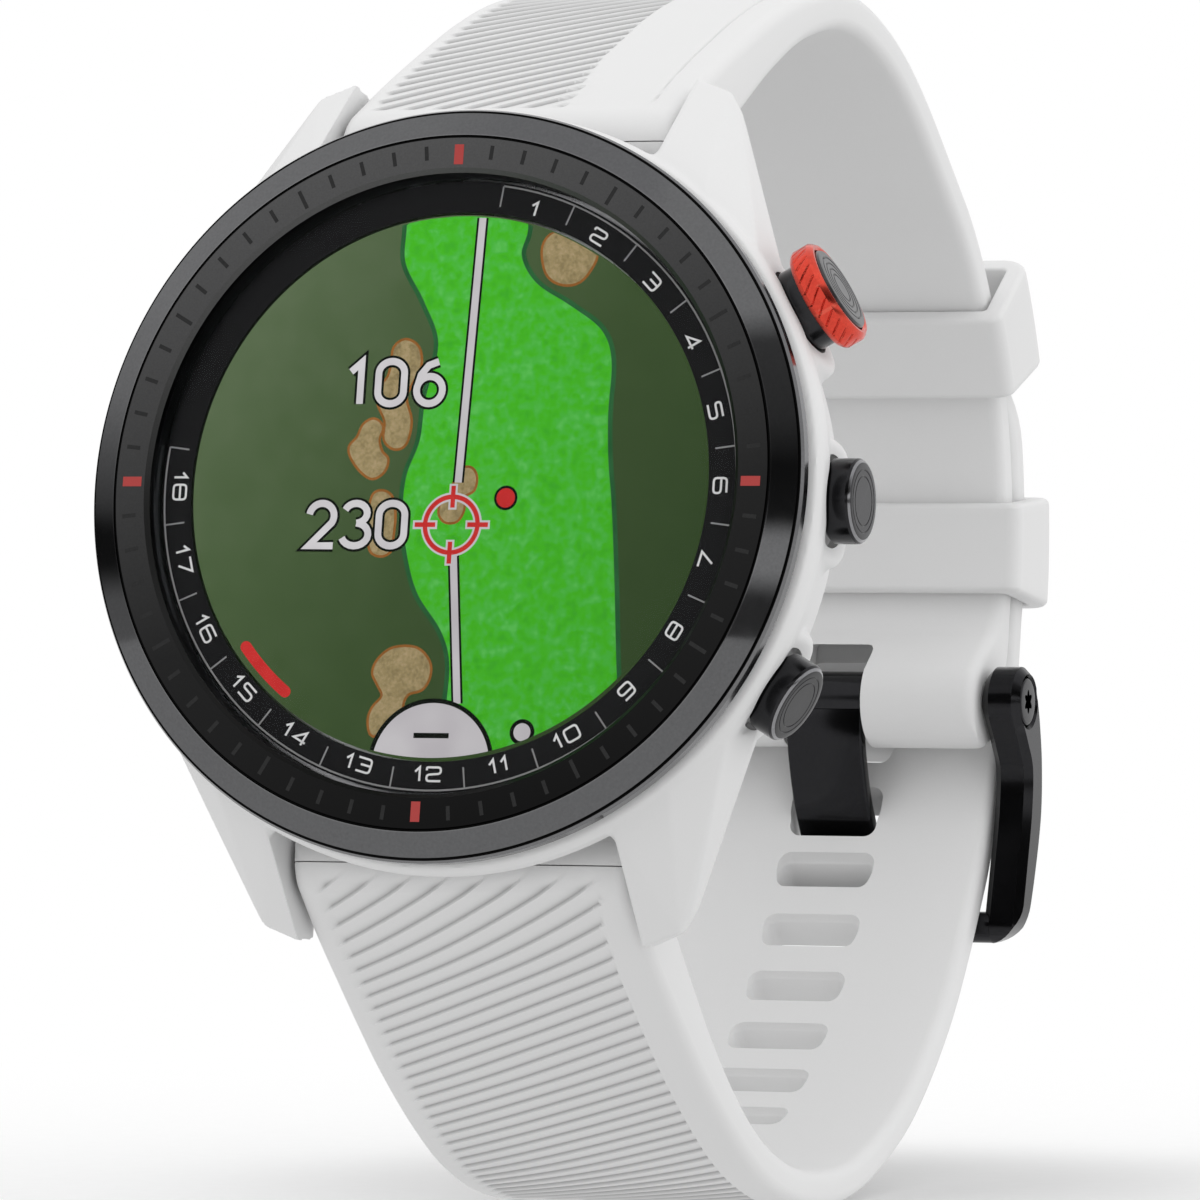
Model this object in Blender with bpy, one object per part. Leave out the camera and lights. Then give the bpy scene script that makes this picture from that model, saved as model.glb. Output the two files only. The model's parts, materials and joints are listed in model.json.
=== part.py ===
"""Golf GPS watch on a buckled silicone strap, standing on its strap with the face leaning back.

The watch head is drawn in its own frame (x to 3 o'clock, y to 12 o'clock, z out of the face,
z = 0 on the bezel's top ring).  The strap loop is drawn in the upright frame (x to 3 o'clock,
y to the back, z up) with its origin at the face centre.  World origin: centre of the flat of
the rear sensor window, the face that rests on the wrist.  Lengths are millimetres, angles
degrees; meshes are scaled to metres as they are finished.
"""
import math

import bmesh
import bpy
from mathutils import Matrix, Vector

MM = 0.001

# ---------------------------------------------------------------- driving dimensions
FACE_TILT = 10.0           # the face leans back this much
CLEARANCE = 0.12           # radial play of stems and hinge bores
SEGMENTS = 48              # default steps of a turned piece

# watch head
BEZEL_R = 23.25
BEZEL_IN = 19.15
LENS_R = 19.0
CASE_R = 23.6              # widest point of the case side
CAVITY_R = 17.4
CASE_TOP = -2.9
CASE_BOTTOM = -12.5
COVER_BACK = -13.9
SENSOR_BACK = -14.8        # wrist side of the sensor window
LUG_GAP = 11.35            # half the gap between a pair of lugs
END_WALL = 19.0            # case wall between the lugs
PIN_Y, PIN_Z = 22.4, -9.7  # lug pins, upper one at +y and lower one at -y
PIN_R = 0.75
SCREW_CIRCLE_R = 19.0      # rear cover screws
SCREW_ANGLES = (50, 130, 230, 310)
BUTTON_Z = -7.0
STEM_R = 1.0
STEM_IN = 16.8             # inner end of a button stem
STEM_OUT = 23.1            # where the stem widens into its head
# position: (angle round the face, outer face of its guard)
BUTTONS = {"upper": (30.0, 23.7), "middle": (0.0, 23.9), "lower": (-30.0, 23.9)}

# strap; angles on the back arc run from +y towards +z
BAND_HALF = 11.0           # half of the strap width
BAND_END_R = 2.9           # roll of the strap round a lug pin
BAND_T = 2.5               # upper strap at the back
TAIL_T = 2.4               # lower strap at the back
LAYER_GAP = 0.15           # between the two straps
ARC_Y, ARC_Z, ARC_R = 47.5, -3.0, 27.0     # inner arc of the strap's back
ARC_TOP = 48               # the upper strap joins the back arc here
ARC_LOW = -11.0            # both straps have the low end of their arc here
ARC_STEP = 5.0             # target spacing of the arc stations
TAIL_TIP = 27.0            # the lower strap's free end
KNOB_Y, KNOB_Z, KNOB_R = 71.1, -14.7, 3.2  # upper strap's end round the buckle pin
HOOK_R = 1.6               # quick-release tube
LATCH_DISTANCE = 7.4       # from the lug pin along the strap

# slots of the lower strap
PRONG_SLOT = (72.25, -23.2)  # (y, z) of the slot the prong sits in
PRONG_SLOT_LEAN = -20.0
PRONG_SLOT_H = 3.3
SLOTS_EACH_WAY = 6
SLOT_PITCH = 4.8
SLOT_W, SLOT_H = 6.6, 2.3
SLOT_CORNER = 0.6
SLOT_DEPTH = 8.0           # of the cutter

# keepers
KEEPERS = {"upper": 26.5, "lower": -3.0}   # centres on the back arc
KEEPER_HALF_ANGLE = 6.6
KEEPER_STEPS = 4
KEEPER_WALL = 1.35
KEEPER_PLAY = 0.15         # radial, to the strap layers
KEEPER_IN_HALF = 11.2      # half of the opening's width

# buckle
BUCKLE_PIN_R = 1.05
ARM_IN, ARM_OUT = 11.3, 13.95
CROSSBAR_R = 1.05
PRONG_T, PRONG_HALF = 1.0, 2.72


# ---------------------------------------------------------------- scene and materials
for old in list(bpy.data.objects):
    bpy.data.objects.remove(old, do_unlink=True)


def material(name, rgb, roughness, metallic=0.0):
    mat = bpy.data.materials.new(name)
    mat.use_nodes = True
    shader = mat.node_tree.nodes["Principled BSDF"]
    shader.inputs["Base Color"].default_value = (*rgb, 1.0)
    shader.inputs["Roughness"].default_value = roughness
    shader.inputs["Metallic"].default_value = metallic
    mat.diffuse_color = (*rgb, 1.0)
    return mat


WHITE = material("white_polymer", rgb=(0.86, 0.86, 0.86), roughness=0.45)
SILICONE = material("white_silicone", rgb=(0.84, 0.84, 0.84), roughness=0.6)
GUNMETAL = material("gunmetal_bezel", rgb=(0.06, 0.06, 0.065), roughness=0.22, metallic=1.0)
STEEL = material("steel", rgb=(0.6, 0.6, 0.62), roughness=0.3, metallic=1.0)
BLACK_METAL = material("black_metal", rgb=(0.02, 0.02, 0.022), roughness=0.32, metallic=1.0)
RED = material("red_anodised", rgb=(0.62, 0.06, 0.04), roughness=0.25, metallic=1.0)
BLACK = material("black_plastic", rgb=(0.02, 0.02, 0.02), roughness=0.45)
GLASS = material("glass", rgb=(0.9, 0.95, 0.95), roughness=0.03)
DISPLAY = material("display", rgb=(0.07, 0.3, 0.05), roughness=0.3)
RUBBER = material("rubber", rgb=(0.03, 0.03, 0.03), roughness=0.8)
BOARD = material("board_green", rgb=(0.02, 0.16, 0.07), roughness=0.5)
CELL = material("cell_foil", rgb=(0.5, 0.5, 0.5), roughness=0.4, metallic=0.6)
GOLD = material("contact_gold", rgb=(0.75, 0.55, 0.2), roughness=0.3, metallic=1.0)


# ---------------------------------------------------------------- objects
# A shape made without a material is a hidden helper for a boolean.
def empty(name, parent, location=(0, 0, 0), rotation=(0, 0, 0)):
    obj = bpy.data.objects.new(name, None)
    obj.empty_display_size = 0.004
    bpy.context.scene.collection.objects.link(obj)
    obj.parent = parent
    obj.location = Vector(location) * MM
    obj.rotation_euler = rotation
    return obj


def finish(name, bm, parent, mat=None, pivot=(0, 0, 0)):
    """Turns the bmesh (millimetres) into an object, with its origin at the pivot."""
    bmesh.ops.remove_doubles(bm, verts=bm.verts, dist=1e-5)
    bmesh.ops.recalc_face_normals(bm, faces=bm.faces)
    pivot = Vector(pivot)
    to_metres = Matrix.Scale(MM, 4) @ Matrix.Translation(-pivot)
    bmesh.ops.transform(bm, matrix=to_metres, verts=bm.verts)
    mesh = bpy.data.meshes.new(name)
    bm.to_mesh(mesh)
    bm.free()
    mesh.shade_smooth()
    mesh.set_sharp_from_angle(angle=math.radians(32))
    obj = bpy.data.objects.new(name, mesh)
    bpy.context.scene.collection.objects.link(obj)
    obj.parent = parent
    obj.location = pivot * MM
    if mat:
        mesh.materials.append(mat)
    else:
        obj.hide_render = True
        obj.display_type = "WIRE"
    return obj


def boolean(target, tool, operation):
    modifier = target.modifiers.new(f"{operation.lower()}_{tool.name}", "BOOLEAN")
    modifier.operation = operation
    modifier.solver = "EXACT"
    modifier.object = tool


def subtract(target, tool):
    boolean(target, tool, "DIFFERENCE")


def unite(target, tool):
    boolean(target, tool, "UNION")


# ---------------------------------------------------------------- turned shapes
def stepped(low, *steps):
    """Profile of a stack of discs from height low up; each step is (radius, top)."""
    profile = [(0, low)]
    for radius, top in steps:
        profile += [(radius, low), (radius, top)]
        low = top
    return profile + [(0, low)]


def disc(radius, low, high):
    return stepped(low, (radius, high))


def chamfered_disc(radius, low, high, edge):
    return [(0, low), (radius - edge, low), (radius, low + edge),
            (radius, high - edge), (radius - edge, high), (0, high)]


def annulus(inner, outer, low, high):
    return [(inner, low), (outer, low), (outer, high), (inner, high)]


def seal_ring(radius, height, section):
    """Profile of a ring with a hexagonal section."""
    angles = [k * math.tau / 6 for k in range(6)]
    return [(radius + section * math.cos(a), height + section * math.sin(a)) for a in angles]


def turned(name, profile, parent, mat=None, segments=SEGMENTS, matrix=None):
    """A closed (radius, height) profile spun round z."""
    bm = bmesh.new()
    ring = [bm.verts.new((radius, 0, height)) for radius, height in profile]
    edges = [bm.edges.new((ring[i], ring[(i + 1) % len(ring)])) for i in range(len(ring))]
    bmesh.ops.spin(
        bm, geom=ring + edges, axis=(0, 0, 1), cent=(0, 0, 0), angle=math.tau,
        steps=segments, use_merge=True,
    )
    bmesh.ops.remove_doubles(bm, verts=bm.verts, dist=1e-5)
    bmesh.ops.dissolve_degenerate(bm, edges=bm.edges, dist=1e-6)
    # faces that collapsed on the axis
    flat = [face for face in bm.faces if face.calc_area() < 1e-9]
    if flat:
        bmesh.ops.delete(bm, geom=flat, context="FACES")
    if matrix is not None:
        bmesh.ops.transform(bm, matrix=matrix, verts=bm.verts)
    return finish(name, bm, parent, mat)


def rod_x(name, centre, radius, ends, parent, mat=None, segments=16, bore=0.0):
    """A rod, or a tube, along x through the (y, z) centre."""
    profile = annulus(bore, radius, *ends) if bore else disc(radius, *ends)
    to_x = Matrix.Translation((0, *centre)) @ Matrix.Rotation(math.radians(90), 4, "Y")
    return turned(name, profile, parent, mat, segments, to_x)


# ---------------------------------------------------------------- other shapes
def block(name, x, y, z, parent, mat=None, bevel=0.0, matrix=None, pivot=(0, 0, 0)):
    """A box given by its (low, high) ranges."""
    bm = bmesh.new()
    bmesh.ops.create_cube(bm, size=1.0)
    centre = Vector([(low + high) / 2 for low, high in (x, y, z)])
    size = Matrix.Diagonal((x[1] - x[0], y[1] - y[0], z[1] - z[0], 1.0))
    bmesh.ops.transform(bm, matrix=Matrix.Translation(centre) @ size, verts=bm.verts)
    if bevel:
        bmesh.ops.bevel(bm, geom=bm.edges[:], offset=bevel, segments=1, affect="EDGES",
                        profile=0.5, clamp_overlap=True)
    if matrix is not None:
        bmesh.ops.transform(bm, matrix=matrix, verts=bm.verts)
    return finish(name, bm, parent, mat, pivot)


def extruded(points, offset):
    """A bmesh prism: the polygon through the 3D points, extruded by the offset."""
    bm = bmesh.new()
    face = bm.faces.new([bm.verts.new(p) for p in points])
    grown = bmesh.ops.extrude_face_region(bm, geom=[face])
    far = [v for v in grown["geom"] if isinstance(v, bmesh.types.BMVert)]
    bmesh.ops.translate(bm, vec=offset, verts=far)
    return bm


def prism_x(name, outline, x0, x1, parent, mat=None):
    """A (y, z) outline extruded along x."""
    bm = extruded([(x0, y, z) for y, z in outline], (x1 - x0, 0, 0))
    return finish(name, bm, parent, mat)


def hull(name, points, parent):
    """Helper: the convex hull of the points."""
    bm = bmesh.new()
    verts = [bm.verts.new(p) for p in points]
    out = bmesh.ops.convex_hull(bm, input=verts)
    spare = out["geom_interior"] + out["geom_unused"]
    inside = [g for g in spare if isinstance(g, bmesh.types.BMVert)]
    if inside:
        bmesh.ops.delete(bm, geom=list(set(inside)), context="VERTS")
    return finish(name, bm, parent)


def rounded_rectangle(half_width, half_height, corner, angles):
    """Points of a rounded rectangle, with one at each of the angles of every corner."""
    points = []
    for sx, sy, start in ((1, 1, 0), (-1, 1, 90), (-1, -1, 180), (1, -1, 270)):
        for angle in angles:
            a = math.radians(start + angle)
            points.append((sx * (half_width - corner) + corner * math.cos(a),
                           sy * (half_height - corner) + corner * math.sin(a)))
    return points


def bridge(bm, one, two):
    """Quads between two closed loops of vertices."""
    for k in range(len(one)):
        after = (k + 1) % len(one)
        bm.faces.new((one[k], one[after], two[after], two[k]))


def axes_matrix(x_axis, y_axis, z_axis):
    return Matrix((x_axis, y_axis, z_axis)).transposed()


def placed(centre, *axes):
    """Matrix that puts a shape at a (y, z) centre with the given x, y and z axes."""
    return Matrix.Translation((0, *centre)) @ axes_matrix(*axes).to_4x4()


# ---------------------------------------------------------------- frames
TILT = math.radians(FACE_TILT)


def upright(y, z):
    """(y, z) in the upright frame of a point of the watch head's mid plane."""
    return (y * math.sin(TILT) - z * math.cos(TILT), y * math.cos(TILT) + z * math.sin(TILT))


PIN_UPPER = upright(PIN_Y, PIN_Z)
PIN_LOWER = upright(-PIN_Y, PIN_Z)


def on_band(point):
    """Upright-frame (y, z) as seen from the strap's swing axis, the upper lug pin."""
    return (point[0] - PIN_UPPER[0], point[1] - PIN_UPPER[1])


def button_axis(where, watch):
    """Frame with z running out along the button's axis and y along the face's z."""
    a = math.radians(BUTTONS[where][0])
    out = Vector((math.cos(a), math.sin(a), 0))
    up = Vector((0, 0, 1))
    turn = axes_matrix(up.cross(out), up, out).to_euler()
    return empty(f"button_{where}_axis", watch, (0, 0, BUTTON_Z), turn)


# ---------------------------------------------------------------- face and electronics
# (radius, height)
BEZEL_PROFILE = [
    (BEZEL_IN, -2.05), (22.9, -2.05), (BEZEL_R, -1.8), (BEZEL_R, -1.05), (23.0, -0.75),
    (21.5, -0.03), (21.38, -0.12), (21.26, 0.0), (19.4, 0.0), (BEZEL_IN, -0.15)]

# name, profile, material, segments
HEAD_DISCS = [
    ("bezel_ring", BEZEL_PROFILE, GUNMETAL, SEGMENTS),
    ("bezel_seat", annulus(20.35, 22.85, -2.75, -2.15), STEEL, SEGMENTS),
    ("bezel_gasket", seal_ring(19.5, -2.45, 0.28), RUBBER, 32),
    ("lens_glass", chamfered_disc(LENS_R, -1.5, -0.3, 0.2), GLASS, SEGMENTS),
    ("dial_ring", annulus(16.95, 18.9, -2.0, -1.6), BLACK, SEGMENTS),
    ("display_panel", disc(16.8, -2.7, -1.62), DISPLAY, 40),
    ("display_frame", annulus(16.2, 20.1, -3.7, -2.9), STEEL, 36),
    ("gps_antenna", annulus(14.9, 17.1, -4.7, -4.1), GOLD, 36),
    ("main_board", disc(16.6, -6.0, -5.1), BOARD, 36),
]
MOTOR_X = 12.0


def build_face_and_electronics(watch):
    for name, profile, mat, segments in HEAD_DISCS:
        turned(name, profile, watch, mat, segments)
    block("battery_cell", (-14.0, 7.6), (-10.5, 10.5), (-11.0, -6.5), watch, CELL, bevel=0.8)
    turned("vibration_motor", chamfered_disc(3.9, -10.9, -8.5, 0.3), watch, STEEL, 20,
           Matrix.Translation((MOTOR_X, 0, 0)))
    for where, (angle, _) in BUTTONS.items():
        turn = Matrix.Rotation(math.radians(angle), 4, "Z")
        block(f"switch_{where}", (14.6, 16.1), (-1.6, 1.6), (-8.1, -6.3), watch, BLACK,
              bevel=0.15, matrix=turn)


# ---------------------------------------------------------------- case middle with lugs
# (radius, height)
CASE_PROFILE = [
    (0, CASE_BOTTOM), (20.6, CASE_BOTTOM), (21.7, -11.6), (22.6, -8.0), (CASE_R, -4.6),
    (CASE_R, -3.6), (23.35, -3.0), (23.2, CASE_TOP), (0, CASE_TOP)]
CAVITY_PROFILE = stepped(-13.5, (CAVITY_R, -3.9), (20.25, -2.0))
BUTTON_BORE_PROFILE = stepped(15.5, (STEM_R + CLEARANCE, 19.2), (1.75, 22.3), (2.85, 26.5))

# (x, y, z) hull points of the lug at +x, +y; the others are mirrored
LUG = [
    (LUG_GAP, 14.0, -3.3), (LUG_GAP, 20.4, -3.3), (14.9, 18.1, -3.3), (20.4, 11.6, -4.0),
    (14.0, 10.0, -3.3),
    (LUG_GAP, 27.0, -9.9), (15.1, 24.9, -9.9), (21.2, 9.6, -8.0),
    (LUG_GAP, 26.6, -12.4), (14.7, 24.5, -12.4), (20.6, 9.6, -12.4), (LUG_GAP, 14.0, -12.4)]

# guard round a button, in the button's frame
GUARD_W, GUARD_H = 8.6, 7.2
GUARD_Y = -0.1
GUARD_MID = 20.0           # middle of the block along the button's axis
GUARD_BEVEL = 1.1

SCREW_PLACES = [
    Matrix.Translation((SCREW_CIRCLE_R * math.cos(math.radians(angle)),
                        SCREW_CIRCLE_R * math.sin(math.radians(angle)), 0))
    for angle in SCREW_ANGLES]


def guard_block(where, axis):
    """Block that swells the case round a button, its outer edges bevelled."""
    bm = bmesh.new()
    bmesh.ops.create_cube(bm, size=1.0)
    depth = 2 * (BUTTONS[where][1] - GUARD_MID)
    size = Matrix.Diagonal((GUARD_W, GUARD_H, depth, 1))
    place = Matrix.Translation((0, GUARD_Y, GUARD_MID))
    bmesh.ops.transform(bm, matrix=place @ size, verts=bm.verts)
    outer = [e for e in bm.edges if all(v.co.z > GUARD_MID + 0.5 for v in e.verts)]
    bmesh.ops.bevel(bm, geom=outer, offset=GUARD_BEVEL, segments=2, affect="EDGES", profile=0.5)
    return finish(f"guard_block_{where}", bm, axis)


def build_case(watch, button_axes):
    case = turned("case_middle", CASE_PROFILE, watch, WHITE)
    for n, (mx, my) in enumerate(((1, 1), (-1, 1), (-1, -1), (1, -1))):
        points = [(x * mx, y * my, z) for x, y, z in LUG]
        unite(case, hull(f"lug_block_{n}", points, watch))
    for where, axis in button_axes.items():
        unite(case, guard_block(where, axis))

    subtract(case, turned("cavity_cut", CAVITY_PROFILE, watch))
    for n, side in enumerate((1, -1)):
        gap_y = sorted((END_WALL * side, 34 * side))
        subtract(case, block(f"lug_gap_cut_{n}", (-LUG_GAP, LUG_GAP), gap_y, (-16, -4.9), watch))
        subtract(case, rod_x(f"lug_hole_cut_{n}", (PIN_Y * side, PIN_Z), PIN_R + 0.1,
                             (-13.4, 13.4), watch))
    for where, axis in button_axes.items():
        subtract(case, turned(f"button_bore_cut_{where}", BUTTON_BORE_PROFILE, axis, segments=16))
    for n, place in enumerate(SCREW_PLACES):
        subtract(case, turned(f"screw_hole_cut_{n}", disc(0.72, -13.5, -9.2), watch,
                              segments=12, matrix=place))


def build_lug_pins(watch):
    for where, side in (("upper", 1), ("lower", -1)):
        rod_x(f"lug_pin_{where}", (PIN_Y * side, PIN_Z), PIN_R, (-13.3, 13.3), watch, STEEL, 20)


# ---------------------------------------------------------------- rear cover
# (radius, height)
COVER_PROFILE = [
    (0, COVER_BACK), (18.6, COVER_BACK), (20.2, -13.2), (20.2, -12.95), (0, -12.95)]
SENSOR_PROFILE = [
    (0, SENSOR_BACK), (7.4, SENSOR_BACK), (8.3, -14.3), (8.5, -13.8), (8.5, -12.6), (0, -12.6)]
SCREW_SEAT_PROFILE = stepped(-15, (1.25, -13.45), (0.75, -11))
COVER_SCREW_PROFILE = stepped(-13.85, (1.1, -13.5), (0.6, -9.6))
COVER_FLAT_Y = 18.8        # flats of the cover at 12 and 6 o'clock
COVER_CUT_Z = (-16, -11)
CONTACT_X = -2.55          # first contact
CONTACT_PITCH = 1.7
CONTACT_Y = -12.9


def build_cover(watch):
    cover = turned("rear_cover", COVER_PROFILE, watch, BLACK, 36)
    for n, side in enumerate((1, -1)):
        flat_y = sorted((COVER_FLAT_Y * side, 30 * side))
        subtract(cover, block(f"cover_flat_cut_{n}", (-26, 26), flat_y, COVER_CUT_Z, watch))
    subtract(cover, turned("sensor_hole_cut", disc(8.7, *COVER_CUT_Z), watch, segments=32))
    subtract(cover, block("contact_cut", (-4.1, 4.1), (-14.6, -11.2), COVER_CUT_Z, watch))
    for n, place in enumerate(SCREW_PLACES):
        subtract(cover, turned(f"screw_seat_cut_{n}", SCREW_SEAT_PROFILE, watch,
                               segments=12, matrix=place))
        turned(f"rear_cover_screw_{n + 1}", COVER_SCREW_PROFILE, watch, STEEL, 12, place)


def build_sensor(watch):
    turned("sensor_window", SENSOR_PROFILE, watch, BLACK, 32)
    turned("sensor_board", disc(7.8, -12.3, -11.7), watch, BOARD, 32)
    turned("rear_gasket", seal_ring(18.3, -12.72, 0.18), watch, RUBBER, 32)


def build_charge_socket(watch):
    socket = block("charge_socket", (-3.9, 3.9), (-14.4, -11.4), (-13.7, -12.4), watch, BLACK,
                   bevel=0.25)
    for n in range(4):
        place = Matrix.Translation((CONTACT_X + CONTACT_PITCH * n, CONTACT_Y, 0))
        subtract(socket, turned(f"contact_hole_cut_{n}", disc(0.62, -15, -11), watch,
                                segments=8, matrix=place))
        turned(f"charge_contact_{n + 1}", disc(0.5, -13.55, -11.9), watch, GOLD, 8, place)


# ---------------------------------------------------------------- buttons
# (radius, distance out along the button's axis)
UPPER_RING_PROFILE = [
    (2.8, 24.5), (3.05, 24.5), (3.35, 24.8), (3.35, 25.7), (3.05, 26.15), (2.8, 26.15)]
UPPER_STEM_PROFILE = stepped(STEM_IN, (STEM_R, STEM_OUT), (2.65, 25.65))
PLAIN_CAP_PROFILE = [
    (0, STEM_IN), (STEM_R, STEM_IN), (STEM_R, STEM_OUT), (2.6, STEM_OUT),
    (2.6, 24.7), (2.3, 25.0), (0, 25.0)]


def build_button(where, axis):
    """The upper button has a separate cap, red ring and stem; the others are one piece."""
    if where == "upper":
        turned("button_upper_cap", chamfered_disc(2.7, 25.75, 26.3, 0.15), axis, BLACK, 24)
        turned("button_upper_ring", UPPER_RING_PROFILE, axis, RED, 28)
        turned("button_upper_stem", UPPER_STEM_PROFILE, axis, BLACK_METAL, 20)
    else:
        turned(f"button_{where}_cap", PLAIN_CAP_PROFILE, axis, BLACK_METAL, 20)
    turned(f"button_{where}_seal", annulus(STEM_R + 0.08, 1.66, 20.0, 20.8), axis, RUBBER, 16)


# ---------------------------------------------------------------- paths
# A path is a list of (y, z, thickness) stations.
def spline(points, per):
    """Catmull-Rom curve through the stations, with this many steps between two of them."""
    before_first = tuple(2 * a - b for a, b in zip(points[0], points[1]))
    after_last = tuple(2 * a - b for a, b in zip(points[-1], points[-2]))
    ends = [before_first, *points, after_last]
    out = []
    for i in range(1, len(ends) - 2):
        for k in range(per):
            t = k / per
            out.append(tuple(
                0.5 * (2 * b + (c - a) * t + (2 * a - 5 * b + 4 * c - d) * t * t
                       + (3 * b - a - 3 * c + d) * t ** 3)
                for a, b, c, d in zip(*ends[i - 1:i + 3])))
    out.append(tuple(points[-1]))
    return out


def arc_station(radius, angle, thick):
    a = math.radians(angle)
    return (ARC_Y + radius * math.cos(a), ARC_Z + radius * math.sin(a), thick)


def arc(radius, start, stop, thick):
    """Stations on the strap's back arc."""
    n = max(1, round(abs(stop - start) / ARC_STEP))
    return [arc_station(radius, start + (stop - start) * k / n, thick) for k in range(n + 1)]


def rolled(path, radius, at_start):
    """Rounds one end of a path about its end point, as a roll of that radius."""
    end, inward = (path[0], path[1]) if at_start else (path[-1], path[-2])
    away = Vector((end[0] - inward[0], end[1] - inward[1])).normalized()
    extra = []
    for share in (0.45, 0.75, 0.92, 0.99):
        p = Vector(end[:2]) + away * radius * share
        extra.append((p.x, p.y, 2 * radius * math.sqrt(1 - share * share)))
    return extra[::-1] + path if at_start else path + extra


def path_normals(path):
    """Unit normal at each station, a quarter turn from y towards z off the path's direction."""
    normals = []
    for i in range(len(path)):
        before, after = path[max(i - 1, 0)], path[min(i + 1, len(path) - 1)]
        along = Vector((after[0] - before[0], after[1] - before[1])).normalized()
        normals.append(Vector((-along.y, along.x)))
    return normals


def path_sides(path):
    """The two edges of a path, half its thickness to either side."""
    pairs = list(zip(path, path_normals(path)))
    left = [Vector((y, z)) + normal * thick / 2 for (y, z, thick), normal in pairs]
    right = [Vector((y, z)) - normal * thick / 2 for (y, z, thick), normal in pairs]
    return left, right


def walk(path, start, distance):
    """The point and the tangent this far along a path from its station nearest to start."""
    points = [Vector(p[:2]) for p in path]
    i = min(range(len(points)), key=lambda k: (points[k] - Vector(start)).length)
    step = 1 if distance >= 0 else -1
    left = abs(distance)
    gap = points[i + step] - points[i]
    while left > gap.length:
        left -= gap.length
        i += step
        gap = points[i + step] - points[i]
    along = gap.normalized()
    return points[i] + along * left, along * step


# ---------------------------------------------------------------- straps
UPPER_R = ARC_R + BAND_T / 2
TAIL_R = ARC_R + BAND_T + LAYER_GAP + TAIL_T / 2

# (y, z, thickness) in the upright frame, from the lug pin to the back arc
UPPER_STATIONS = [
    (*PIN_UPPER, 2 * BAND_END_R), (18.2, 22.8, 4.9), (23.2, 25.1, 4.2), (29.4, 27.7, 3.5),
    (36.0, 29.7, 2.9), (43.6, 30.5, 2.6), (50.6, 28.9, BAND_T), (57.3, 25.3, BAND_T),
    arc_station(UPPER_R, ARC_TOP, BAND_T)]
# from the back arc to the buckle pin
KNOB_STATIONS = [
    arc_station(UPPER_R, ARC_LOW, BAND_T), (74.2, -11.0, 3.8), (72.8, -12.8, 5.2),
    (KNOB_Y, KNOB_Z, 2 * KNOB_R)]
# from the lug pin, under the loop, to the back arc
LOWER_STATIONS = [
    (*PIN_LOWER, 2 * BAND_END_R), (8.4, -26.7, 5.3), (11.3, -29.6, 4.6), (14.6, -32.9, 3.9),
    (18.0, -36.1, 3.4), (22.6, -39.7, 2.9), (27.2, -42.5, 2.6), (32.3, -44.4, TAIL_T),
    (37.5, -45.3, TAIL_T), (43.0, -45.3, TAIL_T), (48.6, -44.2, TAIL_T),
    (56.0, -41.15, TAIL_T), (63.65, -35.15, TAIL_T), (69.8, -27.4, TAIL_T),
    (*PRONG_SLOT, TAIL_T), (76.3, -15.3, TAIL_T), arc_station(TAIL_R, ARC_LOW, TAIL_T)]
# taken off the half width at the last stations, the tip first
TIP_TRIM = (4.2, 2.2, 0.9, 0.2)

UPPER_PATH = (spline(UPPER_STATIONS, 2)[:-1] + arc(UPPER_R, ARC_TOP, ARC_LOW, BAND_T)
              + spline(KNOB_STATIONS, 2)[1:])
UPPER_PATH = rolled(rolled(UPPER_PATH, BAND_END_R, True), KNOB_R, False)
LOWER_PATH = spline(LOWER_STATIONS, 2)[:-1] + arc(TAIL_R, ARC_LOW, TAIL_TIP, TAIL_T)


def strap(name, path, parent, trim=()):
    """Sweeps a rounded rectangle along an upright-frame path."""
    path = [(*on_band(station), station[2]) for station in path]
    bm = bmesh.new()
    rings = []
    for i, ((y, z, thick), normal) in enumerate(zip(path, path_normals(path))):
        from_end = len(path) - 1 - i
        half_width = BAND_HALF - (trim[from_end] if from_end < len(trim) else 0)
        section = rounded_rectangle(half_width, thick / 2, min(0.9, thick * 0.36), (15, 75))
        rings.append([bm.verts.new((x, y + normal.x * off, z + normal.y * off))
                      for x, off in section])
    for one, two in zip(rings, rings[1:]):
        bridge(bm, one, two)
    bm.faces.new(rings[0][::-1])
    bm.faces.new(rings[-1])
    return finish(name, bm, parent, SILICONE)


def slot_cutter(name, centre, along, height, lean, parent):
    """A rounded slot through the strap, leaning by some degrees from its normal."""
    section = rounded_rectangle(SLOT_W / 2, height / 2, SLOT_CORNER, (0, 90))
    bm = extruded([(x, y, -SLOT_DEPTH / 2) for x, y in section], (0, 0, SLOT_DEPTH))
    turn = Matrix.Rotation(math.radians(lean), 3, "X")
    tangent = turn @ Vector((0, along.x, along.y))
    normal = turn @ Vector((0, -along.y, along.x))
    place = placed(on_band(centre), Vector((1, 0, 0)), tangent, normal)
    bmesh.ops.transform(bm, matrix=place, verts=bm.verts)
    return finish(name, bm, parent)


def cut_slots(band, parent):
    for n in range(-SLOTS_EACH_WAY, SLOTS_EACH_WAY + 1):
        centre, along = walk(LOWER_PATH, PRONG_SLOT, n * SLOT_PITCH)
        height, lean = (PRONG_SLOT_H, PRONG_SLOT_LEAN) if n == 0 else (SLOT_H, 0.0)
        name = f"slot_cut_{n + SLOTS_EACH_WAY + 1}"
        subtract(band, slot_cutter(name, centre, along, height, lean, parent))


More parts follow.
